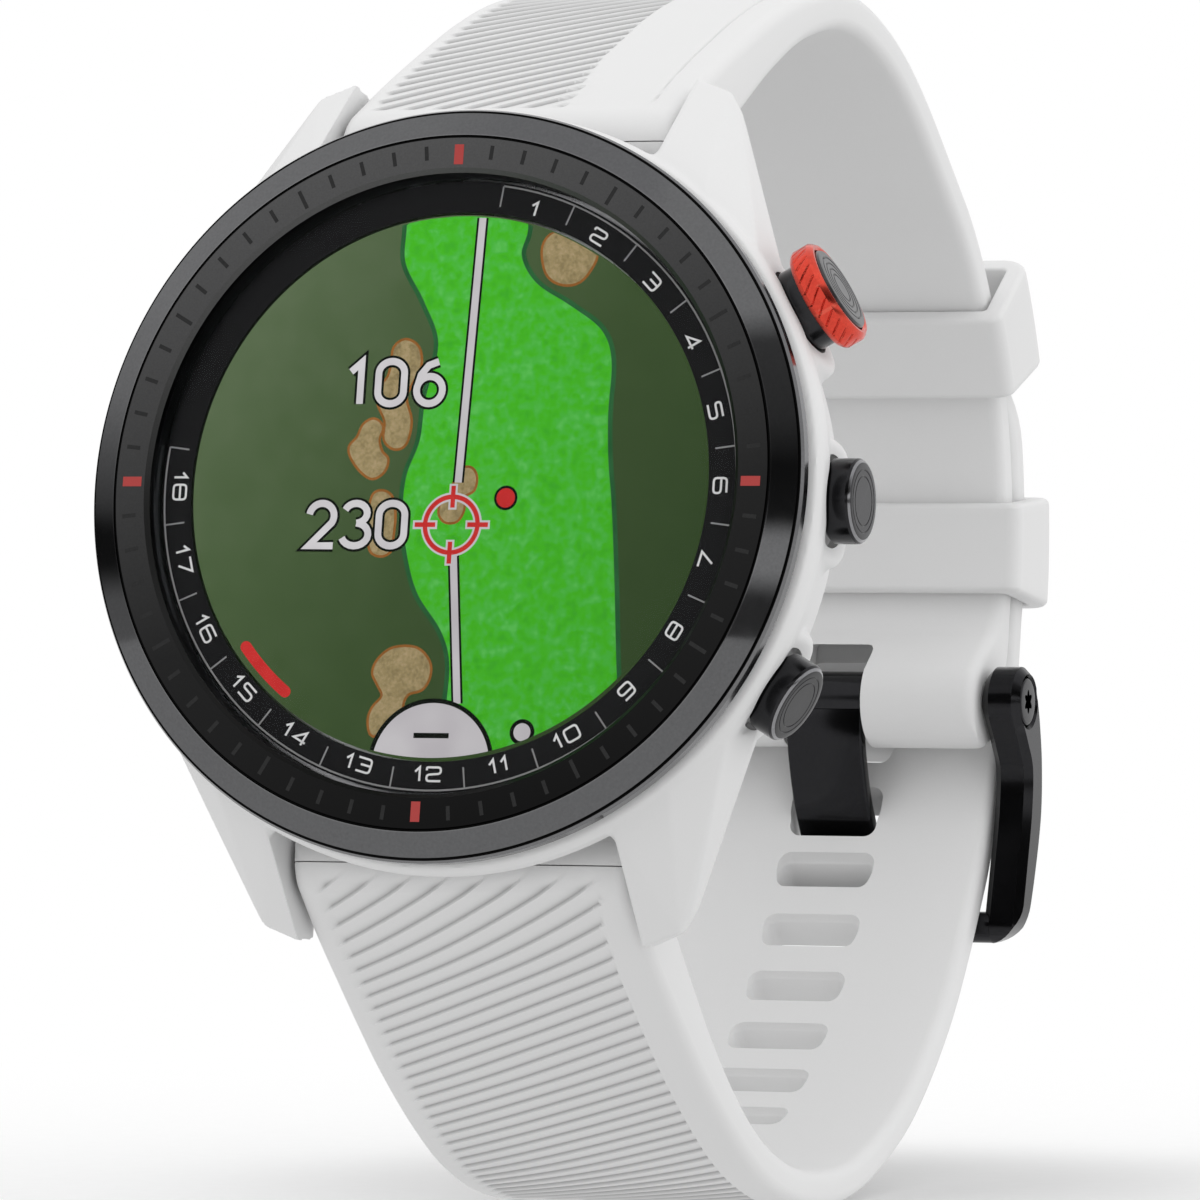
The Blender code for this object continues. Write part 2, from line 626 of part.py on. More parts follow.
# ---------------------------------------------------------------- quick-release ends
def build_end_hook(where, pin, band, parent):
    """Tube round the lug pin in a bore of the strap; both open towards the face side."""
    centre = on_band(pin)
    towards_12 = Vector((0, *upright(1, 0)))
    towards_face = Vector((0, *upright(0, 1)))
    place = placed(centre, Vector((1, 0, 0)), towards_12, towards_face)
    subtract(band, rod_x(f"end_bore_cut_{where}", centre, HOOK_R + CLEARANCE, (-12, 12), parent,
                         segments=20))
    subtract(band, block(f"end_mouth_cut_{where}", (-12, 12), (-0.9, 0.9), (0, 6), parent,
                         matrix=place))
    hook = rod_x(f"end_hook_{where}", centre, HOOK_R, (-10.6, 10.6), parent, STEEL, 24,
                 bore=PIN_R + CLEARANCE)
    subtract(hook, block(f"hook_mouth_cut_{where}", (-12, 12), (-0.87, 0.87), (0, 6), parent,
                         matrix=place))


def build_latch(where, pin, wrist_sign, path, band, parent):
    """Release latch in a pocket of the strap's wrist side."""
    centre, along = walk(path, pin, LATCH_DISTANCE)
    to_wrist = Vector((0, -along.y, along.x)) * wrist_sign
    tangent = Vector((0, along.x, along.y))
    place = placed(on_band(centre), tangent.cross(to_wrist), tangent, to_wrist)
    subtract(band, block(f"latch_pocket_cut_{where}", (-4.6, 4.6), (-3.4, 4.4), (0.5, 6), parent,
                         matrix=place))
    latch = block(f"latch_{where}", (-4.3, 4.3), (-3.1, 2.1), (0.8, 1.7), parent, BLACK_METAL,
                  matrix=place, pivot=place @ Vector((0, 0, 1.0)))
    unite(latch, block(f"latch_grip_{where}", (-3.4, 3.4), (0.5, 1.7), (1.2, 2.7), parent,
                       bevel=0.25, matrix=place))


# ---------------------------------------------------------------- strap keepers
KEEPER_IN_LOW = ARC_R - KEEPER_PLAY
KEEPER_IN_HIGH = ARC_R + BAND_T + LAYER_GAP + TAIL_T + KEEPER_PLAY


def keeper_outline(half, low, high, low_chamfer, high_chamfer):
    """Eight corners of a chamfered rectangle in (x, radius)."""
    return [(half, low + low_chamfer), (half, high - high_chamfer),
            (half - high_chamfer, high), (high_chamfer - half, high),
            (-half, high - high_chamfer), (-half, low + low_chamfer),
            (low_chamfer - half, low), (half - low_chamfer, low)]


KEEPER_LOOPS = [
    keeper_outline(KEEPER_IN_HALF + KEEPER_WALL, KEEPER_IN_LOW - KEEPER_WALL,
                   KEEPER_IN_HIGH + KEEPER_WALL, 0.9, 1.5),
    keeper_outline(KEEPER_IN_HALF, KEEPER_IN_LOW, KEEPER_IN_HIGH, 0.3, 0.3)]


def build_keeper(where, centre, parent):
    """A loop round both strap layers, swept about the back arc's centre."""
    bm = bmesh.new()
    rings = []
    for k in range(KEEPER_STEPS + 1):
        angle = centre - KEEPER_HALF_ANGLE + 2 * KEEPER_HALF_ANGLE * k / KEEPER_STEPS
        a = math.radians(angle)
        rings.append([[bm.verts.new((x, r * math.cos(a), r * math.sin(a))) for x, r in outline]
                      for outline in KEEPER_LOOPS])
    for one, two in zip(rings, rings[1:]):
        for shell in (0, 1):
            bridge(bm, one[shell], two[shell])
    for outer, inner in (rings[0], rings[-1]):
        bridge(bm, outer, inner)
    finish(f"keeper_{where}", bm, parent, SILICONE)


# ---------------------------------------------------------------- buckle, drawn about its pin
# (y, z, width) down the middle of an arm, from the pin to the crossbar
ARM = [(0.0, 0.0, 4.7), (1.1, -2.1, 3.7), (2.05, -4.4, 2.5), (2.25, -7.6, 2.2),
       (1.5, -11.4, 2.1), (0.35, -14.9, 2.2)]
# (y, z) along the prong plate, from the pin to the tip
PRONG = [(-1.45, -0.6), (-1.5, -3.0), (-0.35, -6.6), (1.35, -9.6), (2.25, -12.4), (2.15, -15.9)]
BUCKLE_SCREW_PROFILE = stepped(8.6, (0.54, 13.15), (1.62, 13.9))


def cut_knob(band, parent):
    """Bore for the buckle pin and notch for the prong in the upper strap's end."""
    y, z = on_band((KNOB_Y, KNOB_Z))
    subtract(band, rod_x("knob_bore_cut", (y, z), BUCKLE_PIN_R + CLEARANCE, (-12, 12), parent,
                         segments=20))
    subtract(band, block("knob_notch_cut", (-3.0, 3.0), (y - 6, y + 6), (z - 7, z + 3.8), parent))


def build_buckle_pin(buckle):
    pin = rod_x("buckle_pin", (0, 0), BUCKLE_PIN_R, (-11.1, 11.1), buckle, STEEL, 20)
    for n, side in enumerate((1, -1)):
        ends = sorted((8.0 * side, 12.0 * side))
        subtract(pin, rod_x(f"pin_thread_cut_{n}", (0, 0), 0.62, ends, buckle, segments=12))


def arm_outline():
    """Outline of a tapered arm: a round head about the pin, then a curved leg."""
    def swung(centre, edge, angles):
        return [centre + Matrix.Rotation(math.radians(a), 2) @ (edge - centre) for a in angles]

    path = spline(ARM, 3)
    left, right = path_sides(path)
    head = swung(Vector(path[0][:2]), left[0], (150, 120, 90, 60, 30))
    tip = swung(Vector(path[-1][:2]), right[-1], (135, 90, 45))
    return head + left + tip + right[::-1]


def build_buckle_frame(buckle):
    outline = arm_outline()
    frame = prism_x("buckle_frame", outline, ARM_IN, ARM_OUT, buckle, BLACK_METAL)
    unite(frame, prism_x("frame_arm_left", outline, -ARM_OUT, -ARM_IN, buckle))
    unite(frame, rod_x("frame_crossbar", ARM[-1][:2], CROSSBAR_R, (-12.6, 12.6), buckle,
                       segments=20))
    for n, side in enumerate((1, -1)):
        ends = sorted((13.05 * side, 15.0 * side))
        subtract(frame, rod_x(f"screw_head_cut_{n}", (0, 0), 1.72, ends, buckle))
        ends = sorted((10.5 * side, 15.0 * side))
        subtract(frame, rod_x(f"screw_shank_cut_{n}", (0, 0), 0.7, ends, buckle, segments=12))


def build_buckle_screws(buckle):
    """A screw into each end of the pin, with a hexagonal socket."""
    for n, (where, side) in enumerate((("right", 1), ("left", -1))):
        to_x = Matrix.Rotation(math.radians(90 * side), 4, "Y")
        screw = turned(f"buckle_screw_{where}", BUCKLE_SCREW_PROFILE, buckle, BLACK_METAL, 16,
                       to_x)
        subtract(screw, turned(f"drive_cut_{n}", disc(0.5, 13.35, 15), buckle, segments=6,
                               matrix=to_x))


def build_prong(buckle):
    """A sleeve on the pin with a curved plate."""
    prong = rod_x("buckle_prong", (0, 0), 1.95, (-PRONG_HALF, PRONG_HALF), buckle, BLACK_METAL,
                  bore=BUCKLE_PIN_R + CLEARANCE)
    left, right = path_sides(spline([(*point, PRONG_T) for point in PRONG], 3))
    plate_half = PRONG_HALF - 0.02
    unite(prong, prism_x("prong_plate", left + right[::-1], -plate_half, plate_half, buckle))


# ---------------------------------------------------------------- assembly
def build_watch_head(stand):
    watch = empty("watch_frame", stand, rotation=(math.radians(90 - FACE_TILT), 0, 0))
    button_axes = {where: button_axis(where, watch) for where in BUTTONS}
    build_face_and_electronics(watch)
    build_case(watch, button_axes)
    build_lug_pins(watch)
    build_cover(watch)
    build_sensor(watch)
    build_charge_socket(watch)
    for where, axis in button_axes.items():
        build_button(where, axis)


def build_strap_loop(stand):
    """Straps, keepers and buckle, all under the axis of the upper lug pin."""
    swing = empty("strap_swing_axis", stand, (0, *PIN_UPPER))
    upper = strap("band_upper", UPPER_PATH, swing)
    lower = strap("band_lower", LOWER_PATH, swing, TIP_TRIM)
    cut_slots(lower, swing)
    for where, pin, wrist_sign, path, band in (("upper", PIN_UPPER, -1, UPPER_PATH, upper),
                                               ("lower", PIN_LOWER, 1, LOWER_PATH, lower)):
        build_end_hook(where, pin, band, swing)
        build_latch(where, pin, wrist_sign, path, band, swing)

    keeper_axis = empty("keeper_axis", swing, (0, *on_band((ARC_Y, ARC_Z))))
    for where, centre in KEEPERS.items():
        build_keeper(where, centre, keeper_axis)

    buckle = empty("buckle_axis", swing, (0, *on_band((KNOB_Y, KNOB_Z))))
    cut_knob(upper, swing)
    build_buckle_pin(buckle)
    build_buckle_frame(buckle)
    build_buckle_screws(buckle)
    build_prong(buckle)


# the face centre, seen from the rear sensor's centre
face_centre = (0, SENSOR_BACK * math.cos(TILT), -SENSOR_BACK * math.sin(TILT))
stand_frame = empty("stand_frame", None, face_centre)
build_watch_head(stand_frame)
build_strap_loop(stand_frame)
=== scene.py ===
"""Golf GPS watch standing on its closed strap: detailed parts and materials over the frame.

Watch frame: x to 3 o'clock, y to 12 o'clock, z out of the face, z = 0 on the bezel's top ring.
Stand frame: x to 3 o'clock, y to the back, z up, origin at the face centre. Lengths in both
are millimetres. Button parts are drawn about their own axis, buckle parts about the knob's.
Finished meshes are written in metres in the frame's own coordinates.
"""
import json
import math

import bmesh
import bpy
import numpy as np
from mathutils import Matrix, Vector
from mathutils.kdtree import KDTree


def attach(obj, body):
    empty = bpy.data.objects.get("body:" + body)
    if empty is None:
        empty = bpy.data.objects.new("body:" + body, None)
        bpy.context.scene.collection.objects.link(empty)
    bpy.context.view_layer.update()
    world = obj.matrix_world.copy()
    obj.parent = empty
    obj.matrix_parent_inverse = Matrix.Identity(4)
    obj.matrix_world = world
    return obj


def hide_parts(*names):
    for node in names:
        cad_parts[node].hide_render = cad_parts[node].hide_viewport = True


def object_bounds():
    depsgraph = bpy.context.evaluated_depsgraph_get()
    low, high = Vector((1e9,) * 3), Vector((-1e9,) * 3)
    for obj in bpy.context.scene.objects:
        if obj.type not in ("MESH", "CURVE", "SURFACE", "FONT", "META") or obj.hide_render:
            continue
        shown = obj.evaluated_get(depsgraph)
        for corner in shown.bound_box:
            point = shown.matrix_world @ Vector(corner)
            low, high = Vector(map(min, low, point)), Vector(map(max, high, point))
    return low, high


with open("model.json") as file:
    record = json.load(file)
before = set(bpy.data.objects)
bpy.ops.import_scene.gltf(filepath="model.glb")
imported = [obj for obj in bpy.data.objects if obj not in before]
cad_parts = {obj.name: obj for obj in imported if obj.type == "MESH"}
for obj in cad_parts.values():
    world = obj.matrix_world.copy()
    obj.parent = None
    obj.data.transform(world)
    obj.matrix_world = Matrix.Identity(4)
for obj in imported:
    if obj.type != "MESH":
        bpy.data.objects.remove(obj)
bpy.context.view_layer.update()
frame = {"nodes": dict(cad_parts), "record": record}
scene = bpy.context.scene
TAU = math.tau
CORNERS = ((1, 1), (-1, 1), (-1, -1), (1, -1))  # signs of x and y, counter-clockwise

# ---------------------------------------------------------------- frames
LENS_TOP = -0.3  # the lens mount lies on the lens, this far under the bezel's top ring

lens_mount = next(mount for mount in frame["record"]["mounts"] if mount["name"] == "lens_face")
face_normal = Vector(lens_mount["axis"]).normalized()
face_centre = Vector(lens_mount["pos_m"]) + face_normal * (-LENS_TOP / 1000)
tilt = math.atan2(face_normal.z, -face_normal.y)
STAND = Matrix.Translation(face_centre) @ Matrix.Scale(0.001, 4)
WATCH = STAND @ Matrix.Rotation(math.radians(90) - tilt, 4, "X")
ALONG_X = Matrix.Rotation(math.radians(90), 4, "Y")  # turns the z axis onto x
BUTTON_Z = -7.0


def upright(watch_y, watch_z):
    """(y, z) in the stand frame of a point of the watch's mid plane."""
    return (watch_y * math.sin(tilt) - watch_z * math.cos(tilt),
            watch_y * math.cos(tilt) + watch_z * math.sin(tilt))


def polar(radius, degrees):
    return radius * math.cos(math.radians(degrees)), radius * math.sin(math.radians(degrees))


def axes_matrix(x_axis, y_axis, z_axis):
    """Turns the local axes onto the given directions."""
    return Matrix((x_axis, y_axis, z_axis)).transposed().to_4x4()


def button_axis(degrees):
    """Local z runs out along the button's axis and local y along the face's z."""
    out, up = Vector((*polar(1, degrees), 0)), Vector((0, 0, 1))
    return Matrix.Translation((0, 0, BUTTON_Z)) @ axes_matrix(up.cross(out), up, out)


# ---------------------------------------------------------------- shader building
class Graph:
    """A node tree with short ways to add nodes; values may be numbers or output sockets."""

    def __init__(self, tree):
        self.tree = tree

    def put(self, socket, value):
        """Links an output to the socket or sets a plain value; colours get an alpha of 1."""
        if isinstance(value, bpy.types.NodeSocket):
            self.tree.links.new(value, socket)
        elif socket.type == "RGBA":
            socket.default_value = (*value, 1.0)
        else:
            socket.default_value = value

    def feed(self, node, inputs):
        for key, value in inputs.items():
            self.put(node.inputs[key], value)

    def node(self, kind, inputs=None, **settings):
        node = self.tree.nodes.new("ShaderNode" + kind)
        for key, value in settings.items():
            setattr(node, key, value)
        self.feed(node, inputs or {})
        return node

    def calc(self, operation, first, second=0.0, clamp=False):
        return self.node("Math", {0: first, 1: second}, operation=operation,
                         use_clamp=clamp).outputs[0]

    def scaled(self, value, factor, offset):
        """value * factor + offset"""
        return self.calc("ADD", self.calc("MULTIPLY", value, factor), offset)

    def mix(self, factor, first, second, blend="MIX"):
        node = self.node("Mix", {"Factor": factor}, data_type="RGBA", blend_type=blend)
        for name, value in (("A", first), ("B", second)):
            self.put(next(s for s in node.inputs if s.name == name and s.type == "RGBA"), value)
        return next(s for s in node.outputs if s.type == "RGBA")

    def place(self):
        return self.node("TexCoord").outputs["Object"]

    def coords(self):
        """Object coordinates in millimetres."""
        return self.node("VectorMath", {0: self.place(), "Scale": 1000.0},
                         operation="SCALE").outputs[0]

    def distance(self, centre):
        """Distance from a point, in metres."""
        return self.node("VectorMath", {0: self.place(), 1: centre},
                         operation="DISTANCE").outputs["Value"]

    def noise(self, coords, scale, detail=2.0, rough=0.5):
        return self.node("TexNoise", {"Vector": coords, "Scale": scale, "Detail": detail,
                                      "Roughness": rough}).outputs["Fac"]

    def ramp(self, value, stops):
        """Stops are (position, grey or linear colour), in rising order."""
        node = self.node("ValToRGB", {0: value})
        elements = node.color_ramp.elements
        while len(elements) < len(stops):
            elements.new(0.5)
        for element, (position, colour) in zip(elements, stops):
            element.position = position
            if not isinstance(colour, tuple):
                colour = (colour,) * 3
            element.color = (*colour, 1.0)
        return node.outputs["Color"]

    def map_range(self, value, start, end, to=(0.0, 1.0), kind="SMOOTHSTEP"):
        inputs = {"Value": value, "From Min": start, "From Max": end,
                  "To Min": to[0], "To Max": to[1]}
        return self.node("MapRange", inputs, interpolation_type=kind).outputs[0]

    def gate(self, value, rise, fall):
        """1 between the two ranges, easing to 0 outside them."""
        return self.calc("MULTIPLY", self.map_range(value, *rise),
                         self.map_range(value, *fall, to=(1.0, 0.0)))

    def slope(self, coords, **weights):
        """Weighted sum of two of the coordinates."""
        axes = self.node("SeparateXYZ", {0: coords}).outputs
        return self.calc("ADD", *(self.calc("MULTIPLY", axes[axis], weight)
                                  for axis, weight in weights.items()))

    def worn_edges(self, base, amount, pointiness, colour):
        """Lighter colour where the surface is most convex."""
        geometry = self.node("NewGeometry")
        edge = self.ramp(geometry.outputs["Pointiness"], [(pointiness[0], 0.0), (pointiness[1], 1.0)])
        return self.mix(self.calc("MULTIPLY", edge, amount), base, colour)

    def bump(self, shader, height, strength, distance):
        node = self.node("Bump", {"Strength": strength, "Distance": distance, "Height": height})
        self.put(shader.inputs["Normal"], node.outputs[0])


MATERIALS = {}


def new_material(name):
    material = bpy.data.materials.new(name)
    material.use_nodes = True
    MATERIALS[name] = material
    return Graph(material.node_tree), material.node_tree.nodes["Principled BSDF"]


def srgb(red, green=None, blue=None):
    """Linear colour from 0-255 display values; one value alone makes a grey."""
    values = (red, red if green is None else green, red if blue is None else blue)
    return tuple(v / 255 / 12.92 if v < 10.31 else ((v / 255 + 0.055) / 1.055) ** 2.4 for v in values)


def tint(colour, factor, lift=0.0):
    return tuple(min(1, c * factor + lift) for c in colour)


def polymer(name, colour, rough, grain, scale, height, cavity=0.0, sheen=0.0, coat=0.0, wear=0.0):
    """Moulded plastic or rubber: fine grain in colour, roughness and height.

    grain is the colour's darkening, scale the grain's fineness, height its relief in metres,
    cavity the strength of painted shade in the slats' crevices, read from a mesh attribute, and wear the
    lightening of edges.
    """
    graph, shader = new_material(name)
    coords = graph.coords()
    fine = graph.noise(coords, scale, detail=3)
    broad = graph.noise(coords, scale=0.35)
    base = graph.mix(fine, tint(colour, 1 - grain), colour)
    base = graph.mix(graph.calc("MULTIPLY", broad, 0.35), base, tint(colour, 1 - 0.6 * grain))
    if wear:
        base = graph.worn_edges(base, wear, pointiness=(0.5, 0.56),
                                colour=tint(colour, factor=2.2, lift=0.02))
    if cavity:
        # painted shade: darker towards the deep end of each slat, where the crevices lie in shade
        painted_crevice_shade = graph.node("Attribute", attribute_name="painted_crevice_shade").outputs["Fac"]
        base = graph.mix(graph.calc("MULTIPLY", painted_crevice_shade, cavity), base, tint(colour, 0.32))
    graph.feed(shader, {"Base Color": base, "Roughness": graph.scaled(fine, 0.12, rough - 0.06)})
    if sheen:
        graph.feed(shader, {"Sheen Weight": sheen, "Sheen Roughness": 0.45})
    if coat:
        graph.feed(shader, {"Coat Weight": coat, "Coat Roughness": 0.12})
    graph.bump(shader, fine, strength=0.6, distance=height)


def metal(name, colour, rough, brush=0.0, wear=0.0, height=4e-6, stretch=(1, 1, 1)):
    """Metal with fine brushing or speckle, drawn out by stretch, and lighter worn edges."""
    graph, shader = new_material(name)
    coords = graph.coords()
    mapping = graph.node("Mapping", {"Scale": stretch, "Vector": coords})
    fine = graph.noise(mapping.outputs[0], scale=6.0, detail=4, rough=0.6)
    broad = graph.noise(coords, scale=0.5)
    base = graph.mix(fine, tint(colour, 1 - 0.25 - brush), tint(colour, 1.1 + brush))
    if wear:
        base = graph.worn_edges(base, wear, pointiness=(0.52, 0.6),
                                colour=tint(colour, factor=3, lift=0.03))
    graph.feed(shader, {"Base Color": base, "Metallic": 1.0,
                        "Roughness": graph.scaled(broad, 0.08, max(rough - 0.04, 0.01))})
    graph.bump(shader, fine, strength=0.3, distance=height)


def screen(name, stops, scale=0.45, detail=2.0, strength=1.0, speckle=0.0, painted_haze=True,
           spread=0.44, slope=0.0):
    """Lit area: blotches between display colours spread about the middle of the noise."""
    graph, shader = new_material(name)
    coords = graph.coords()
    value = graph.noise(coords, scale, detail, rough=0.55)
    if speckle:
        fine = graph.noise(coords, scale=5.0, detail=1)
        value = graph.calc("ADD", graph.calc("MULTIPLY", value, 1 - speckle),
                           graph.calc("MULTIPLY", fine, speckle))
    if slope:
        # painted reflection haze: brighter towards the upper left of the panel, with little mottling
        value = graph.calc("ADD", graph.scaled(value, 0.25, 0.3),
                           graph.slope(coords, X=-slope, Z=slope * 0.8))
    colour = graph.ramp(value, [(0.5 - spread / 2 + spread * i / (len(stops) - 1), srgb(*stop))
                                for i, stop in enumerate(stops)])
    if painted_haze:
        # painted reflection haze: the lower right of the panel is a little dimmer than the upper left
        lift = graph.calc("ADD", graph.slope(coords, X=-0.006, Z=0.004), 0.98)
        grey = graph.node("CombineColor", {0: lift, 1: lift, 2: lift})
        colour = graph.mix(1.0, colour, grey.outputs[0], "MULTIPLY")
    graph.feed(shader, {"Base Color": (0.002,) * 3, "Roughness": 0.4, "Specular IOR Level": 0.0,
                        "Emission Color": colour, "Emission Strength": strength})


def coated_glass():
    """Nearly clear glass with a faint, slightly smudged reflection."""
    graph, shader = new_material("coated_glass")
    clear = graph.node("BsdfTransparent", {"Color": (0.985,) * 3})
    smudge = graph.noise(graph.coords(), scale=0.25)
    gloss = graph.node("BsdfGlossy", {"Color": (0.9, 0.95, 1.0),
                                      "Roughness": graph.scaled(smudge, 0.05, 0.02)})
    fresnel = graph.node("Fresnel", {"IOR": 1.3})
    mixed = graph.node("MixShader", {0: graph.calc("MULTIPLY", fresnel.outputs[0], 0.10),
                                     1: clear.outputs[0], 2: gloss.outputs[0]})
    graph.feed(graph.tree.nodes["Material Output"], {"Surface": mixed.outputs[0]})
    graph.tree.nodes.remove(shader)


def bezel_satin():
    """Satin dark ring with a painted reflection: lighter towards its upper left."""
    graph, shader = new_material("bezel_satin")
    coords = graph.coords()
    # painted reflection of the studio light: brighter at the upper left, darker at the lower right
    value = graph.calc("ADD", graph.slope(coords, Z=0.021, X=-0.006), 0.42, clamp=True)
    fine = graph.noise(coords, scale=9.0, detail=3)
    colour = graph.ramp(value, [(0.0, srgb(26)), (0.35, srgb(44)), (0.75, srgb(84)), (1.0, srgb(100))])
    colour = graph.mix(graph.calc("MULTIPLY", fine, 0.3), colour, srgb(26))
    graph.feed(shader, {"Base Color": colour, "Metallic": 1.0,
                        "Roughness": graph.scaled(fine, 0.1, 0.34)})
    graph.bump(shader, fine, strength=0.25, distance=3e-6)


# ---------------------------------------------------------------- materials
polymer("case_polymer", (0.80,) * 3, rough=0.46, grain=0.03, scale=7.0, height=3.5e-6)
# the strap's slats get painted shade in their crevices (cavity)
polymer("strap_silicone", (0.80,) * 3, rough=0.58, grain=0.035, scale=9.0, height=6e-6,
        cavity=0.55, sheen=0.08)
polymer("keeper_silicone", (0.79,) * 3, rough=0.55, grain=0.03, scale=9.0, height=5e-6, sheen=0.05)
metal("bezel_polished", (0.150, 0.151, 0.155), rough=0.07, brush=0.02, height=6e-7)
metal("bezel_side_polished", (0.20, 0.20, 0.205), rough=0.12, brush=0.03, height=1e-6)
bezel_satin()
# near black: painted shade in the bezel's grooves, also used on its hidden faces
metal("bezel_groove_painted_shade", (0.006,) * 3, rough=0.4)
metal("tick_print", srgb(58), rough=0.5, brush=0.05)
polymer("mark_red", srgb(176, 50, 46), rough=0.4, grain=0.1, scale=8.0, height=2e-6)
coated_glass()
polymer("dial_black", (0.004, 0.004, 0.0045), rough=0.32, grain=0.2, scale=9.0, height=1e-6)
polymer("dial_print_grey", srgb(236), rough=0.6, grain=0.1, scale=9.0, height=1e-6)
polymer("dial_line_grey", srgb(150), rough=0.6, grain=0.1, scale=9.0, height=1e-6)
metal("buckle_black_metal", (0.029, 0.029, 0.031), rough=0.17, brush=0.05, wear=0.1, height=2e-6)
metal("button_black_metal", (0.032, 0.032, 0.034), rough=0.18, brush=0.05, wear=0.1, height=1e-6)
metal("button_polished_edge", (0.3, 0.3, 0.31), rough=0.14, brush=0.05)
metal("button_red_anodised", (0.80, 0.078, 0.05), rough=0.19, brush=0.08, wear=0.25, height=2e-6)
polymer("button_cap_black", (0.012, 0.012, 0.013), rough=0.3, grain=0.25, scale=9.0, height=2e-6,
        coat=0.4, wear=0.2)
metal("brushed_steel", (0.55, 0.55, 0.56), rough=0.28, brush=0.12, wear=0.1, height=3e-6,
      stretch=(0.15, 1, 1))
polymer("rear_cover_black", (0.016, 0.016, 0.017), rough=0.42, grain=0.3, scale=6.0, height=6e-6,
        wear=0.3)
polymer("sensor_window_gloss", (0.006, 0.006, 0.008), rough=0.08, grain=0.2, scale=6.0,
        height=5e-7, coat=1.0)
polymer("seal_rubber_black", (0.02,) * 3, rough=0.75, grain=0.3, scale=7.0, height=8e-6)
polymer("board_solder_mask", (0.015, 0.14, 0.06), rough=0.4, grain=0.4, scale=2.0, height=8e-6,
        coat=0.3)
metal("cell_foil", (0.5, 0.5, 0.48), rough=0.35, brush=0.1, height=1e-5)
metal("contact_gold", (0.78, 0.56, 0.2), rough=0.25, brush=0.06, height=3e-6)
polymer("plastic_black", (0.02, 0.02, 0.021), rough=0.45, grain=0.3, scale=6.0, height=6e-6)
screen("sensor_led_green", [(40, 150, 70), (60, 190, 90)], scale=1.0, strength=0.35, painted_haze=False)
# the dial mirrors very little
MATERIALS["dial_black"].node_tree.nodes["Principled BSDF"].inputs["Specular IOR Level"] \
    .default_value = 0.12

screen("map_rough", [(54, 74, 42), (60, 80, 47), (72, 91, 59), (88, 104, 76)], scale=0.5,
       detail=3.0, spread=0.7, slope=0.016)
screen("map_fairway", [(60, 166, 40), (68, 178, 34), (72, 176, 62), (88, 186, 82)], scale=1.5,
       spread=0.42)
screen("map_fringe", [(36, 84, 48), (46, 100, 58)], scale=0.6)
screen("map_sand", [(120, 106, 74), (150, 134, 96), (172, 152, 116)], scale=1.6, speckle=0.4)
screen("map_sand_edge", [(128, 84, 40), (150, 98, 50)], scale=1.2)
screen("map_ink", [(14, 18, 14), (20, 24, 18)], scale=1.0, detail=1.0)
screen("map_pale", [(186, 182, 186), (198, 195, 198)], scale=0.4, detail=1.0)
screen("map_digits", [(196, 193, 196), (208, 206, 208)], scale=0.6, detail=1.0)
screen("map_red", [(186, 44, 44), (200, 52, 50)], scale=0.8, detail=1.0)


# ---------------------------------------------------------------- mesh helpers
def to_mesh(verts, faces):
    mesh = bpy.data.meshes.new("part")
    mesh.from_pydata([tuple(v) for v in verts], [], [tuple(f) for f in faces])
    mesh.validate(clean_customdata=False)
    mesh.update()
    return mesh


def from_bmesh(bm):
    mesh = bpy.data.meshes.new("part")
    bm.to_mesh(mesh)
    bm.free()
    return mesh


def outward(mesh):
    """Splits faces of more than four corners and turns all normals out."""
    bm = bmesh.new()
    bm.from_mesh(mesh)
    wide = [f for f in bm.faces if len(f.verts) > 4]
    if wide:
        bmesh.ops.triangulate(bm, faces=wide, ngon_method="EAR_CLIP")
    bmesh.ops.recalc_face_normals(bm, faces=bm.faces)
    if bm.calc_volume(signed=True) < 0:
        bmesh.ops.reverse_faces(bm, faces=bm.faces)
    bm.to_mesh(mesh)
    bm.free()
    return mesh


def moved(mesh, matrix):
    mesh.transform(matrix)
    return mesh


def temporary(mesh):
    obj = bpy.data.objects.new("temporary", mesh)
    scene.collection.objects.link(obj)
    return obj


def applied(target, helpers=()):
    """The target's mesh with its modifiers applied; the temporary objects are removed."""
    bpy.context.view_layer.update()
    graph = bpy.context.evaluated_depsgraph_get()
    graph.update()
    made = bpy.data.meshes.new_from_object(target.evaluated_get(graph))
    for obj in (target, *helpers):
        bpy.data.objects.remove(obj, do_unlink=True)
    return made


def combine(mesh, others, operation, solver):
    target = temporary(mesh)
    tools = [temporary(outward(other)) for other in others]
    for tool in tools:
        modifier = target.modifiers.new("combine", "BOOLEAN")
        modifier.operation, modifier.solver, modifier.object = operation, solver, tool
    made = applied(target, tools)
    if len(made.polygons) < 4:
        raise RuntimeError("boolean left nothing of a part")
    return made


def cut(mesh, tools):
    return combine(mesh, tools, "DIFFERENCE", "MANIFOLD")


def union(mesh, others):
    return combine(mesh, others, "UNION", "EXACT")


def remeshed(mesh, voxel, factor, iterations):
    """Even small quads over the shape, its sharp edges softened as a moulded part's are."""
    target = temporary(mesh)
    modifier = target.modifiers.new("remesh", "REMESH")
    modifier.mode, modifier.voxel_size, modifier.adaptivity = "VOXEL", voxel, 0.0
    soft = target.modifiers.new("smooth", "SMOOTH")
    soft.factor, soft.iterations = factor, iterations
    return applied(target)


